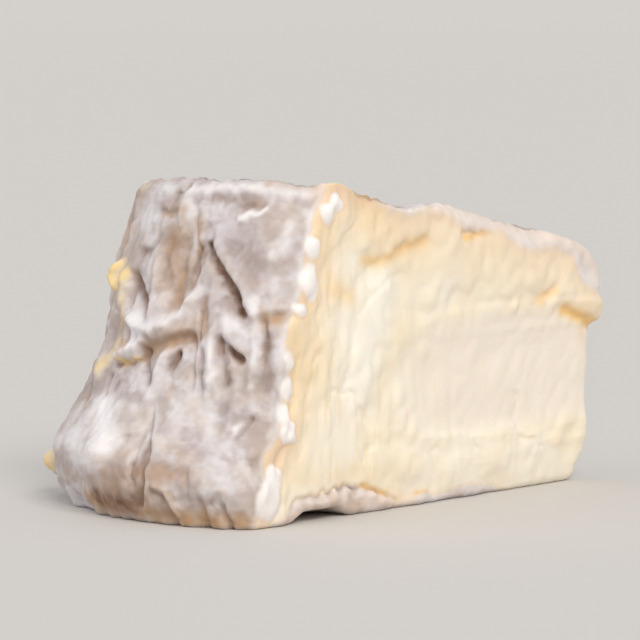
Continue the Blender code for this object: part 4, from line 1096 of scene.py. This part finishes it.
# paste: yellow and ripe near the rind and under the top, paler at the foot and in the core
height = add(tree, "SeparateXYZ", {"Vector": where}).outputs["Z"]
ripe = times(ramp(skin_in, -17.0, -1.0), ramp(height, 6 * MM, 13 * MM))
ripe_colour = mix(measure("drip"), srgb("f2dec0"), srgb("f1d8b0"))
# tan upright streaks beside the rind: painted shade of the drips drawn by the knife
drips = ramp(noise(2.2, 3, 0.55, (1, 1, 0.14)), 0.52, 0.68)
edge_tan = times(ramp(skin_in, -1.2, -0.1), ramp(measure("peach"), 0.0, 0.5, 0.5, 0.1))
paste_colour = layered(srgb("fbecd3"), [
    (ramp(noise(14, 2), 0.35, 0.65), "fcf1e0"),
    (measure("core"), "f6ebdd"),
])
paste_colour = mix(times(ripe, 0.8), paste_colour, ripe_colour)
paste_colour = layered(paste_colour, [
    # painted shade of the knife's drips
    (times(drips, times(measure("drip"), 0.4)), "ecd3a5"),
    (measure("smear"), "fff6e8"),
    (measure("peach"), "eacdaf"),
    # orange lines in the creases of the cut, partly painted shade
    (measure("line"), "f7ca7c"),
    # tan where the paste meets the skin's cut edge
    (times(edge_tan, 0.6), "e6ccb0"),
])

# the lobes of cut rind are white, with a tan line round them where they lie on paste: a painted shadow of
# the lobes
lobe_in = maths("ADD", measure("lobes"), times(ragged, 0.3))
lobe_shadow_line = times(ramp(lobe_in, -0.9, -0.3), ramp(skin_in, 0.3, -0.8, 0.0, 0.4))
colour = layered(mix(ramp(skin_in, -0.5, 0.5), paste_colour, rind_colour), [
    (lobe_shadow_line, "dfbc98"),
    (ramp(lobe_in, -0.7, 0.35), "f8f2ef"),
])

roughness = ramp(skin_in, -0.5, 0.5, 0.42, 0.55)
grain = maths("ADD", times(noise(0.9, 3, 0.6), 0.6), noise(0.35, 2))
grain = maths("ADD", grain, times(wrinkle, ramp(skin_in, -0.2, 0.8, 0.0, 3.0)))
bump = add(tree, "Bump", {"Height": grain, "Strength": 0.25, "Distance": 0.25 * MM}).outputs[0]
shader = add(tree, "BsdfPrincipled", {
    "Base Color": colour, "Roughness": roughness, "Normal": bump, "IOR": 1.45,
    "Subsurface Weight": 0.35, "Subsurface Scale": 2.0 * MM, "Subsurface Radius": (1.0, 0.8, 0.6)})
tree.links.new(shader.outputs[0], output.inputs[0])
wedge_mesh.materials.append(cheese_finish)

# %% Ride on the body, stand for the solid
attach(wedge, "root")
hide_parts("cheese_wedge")
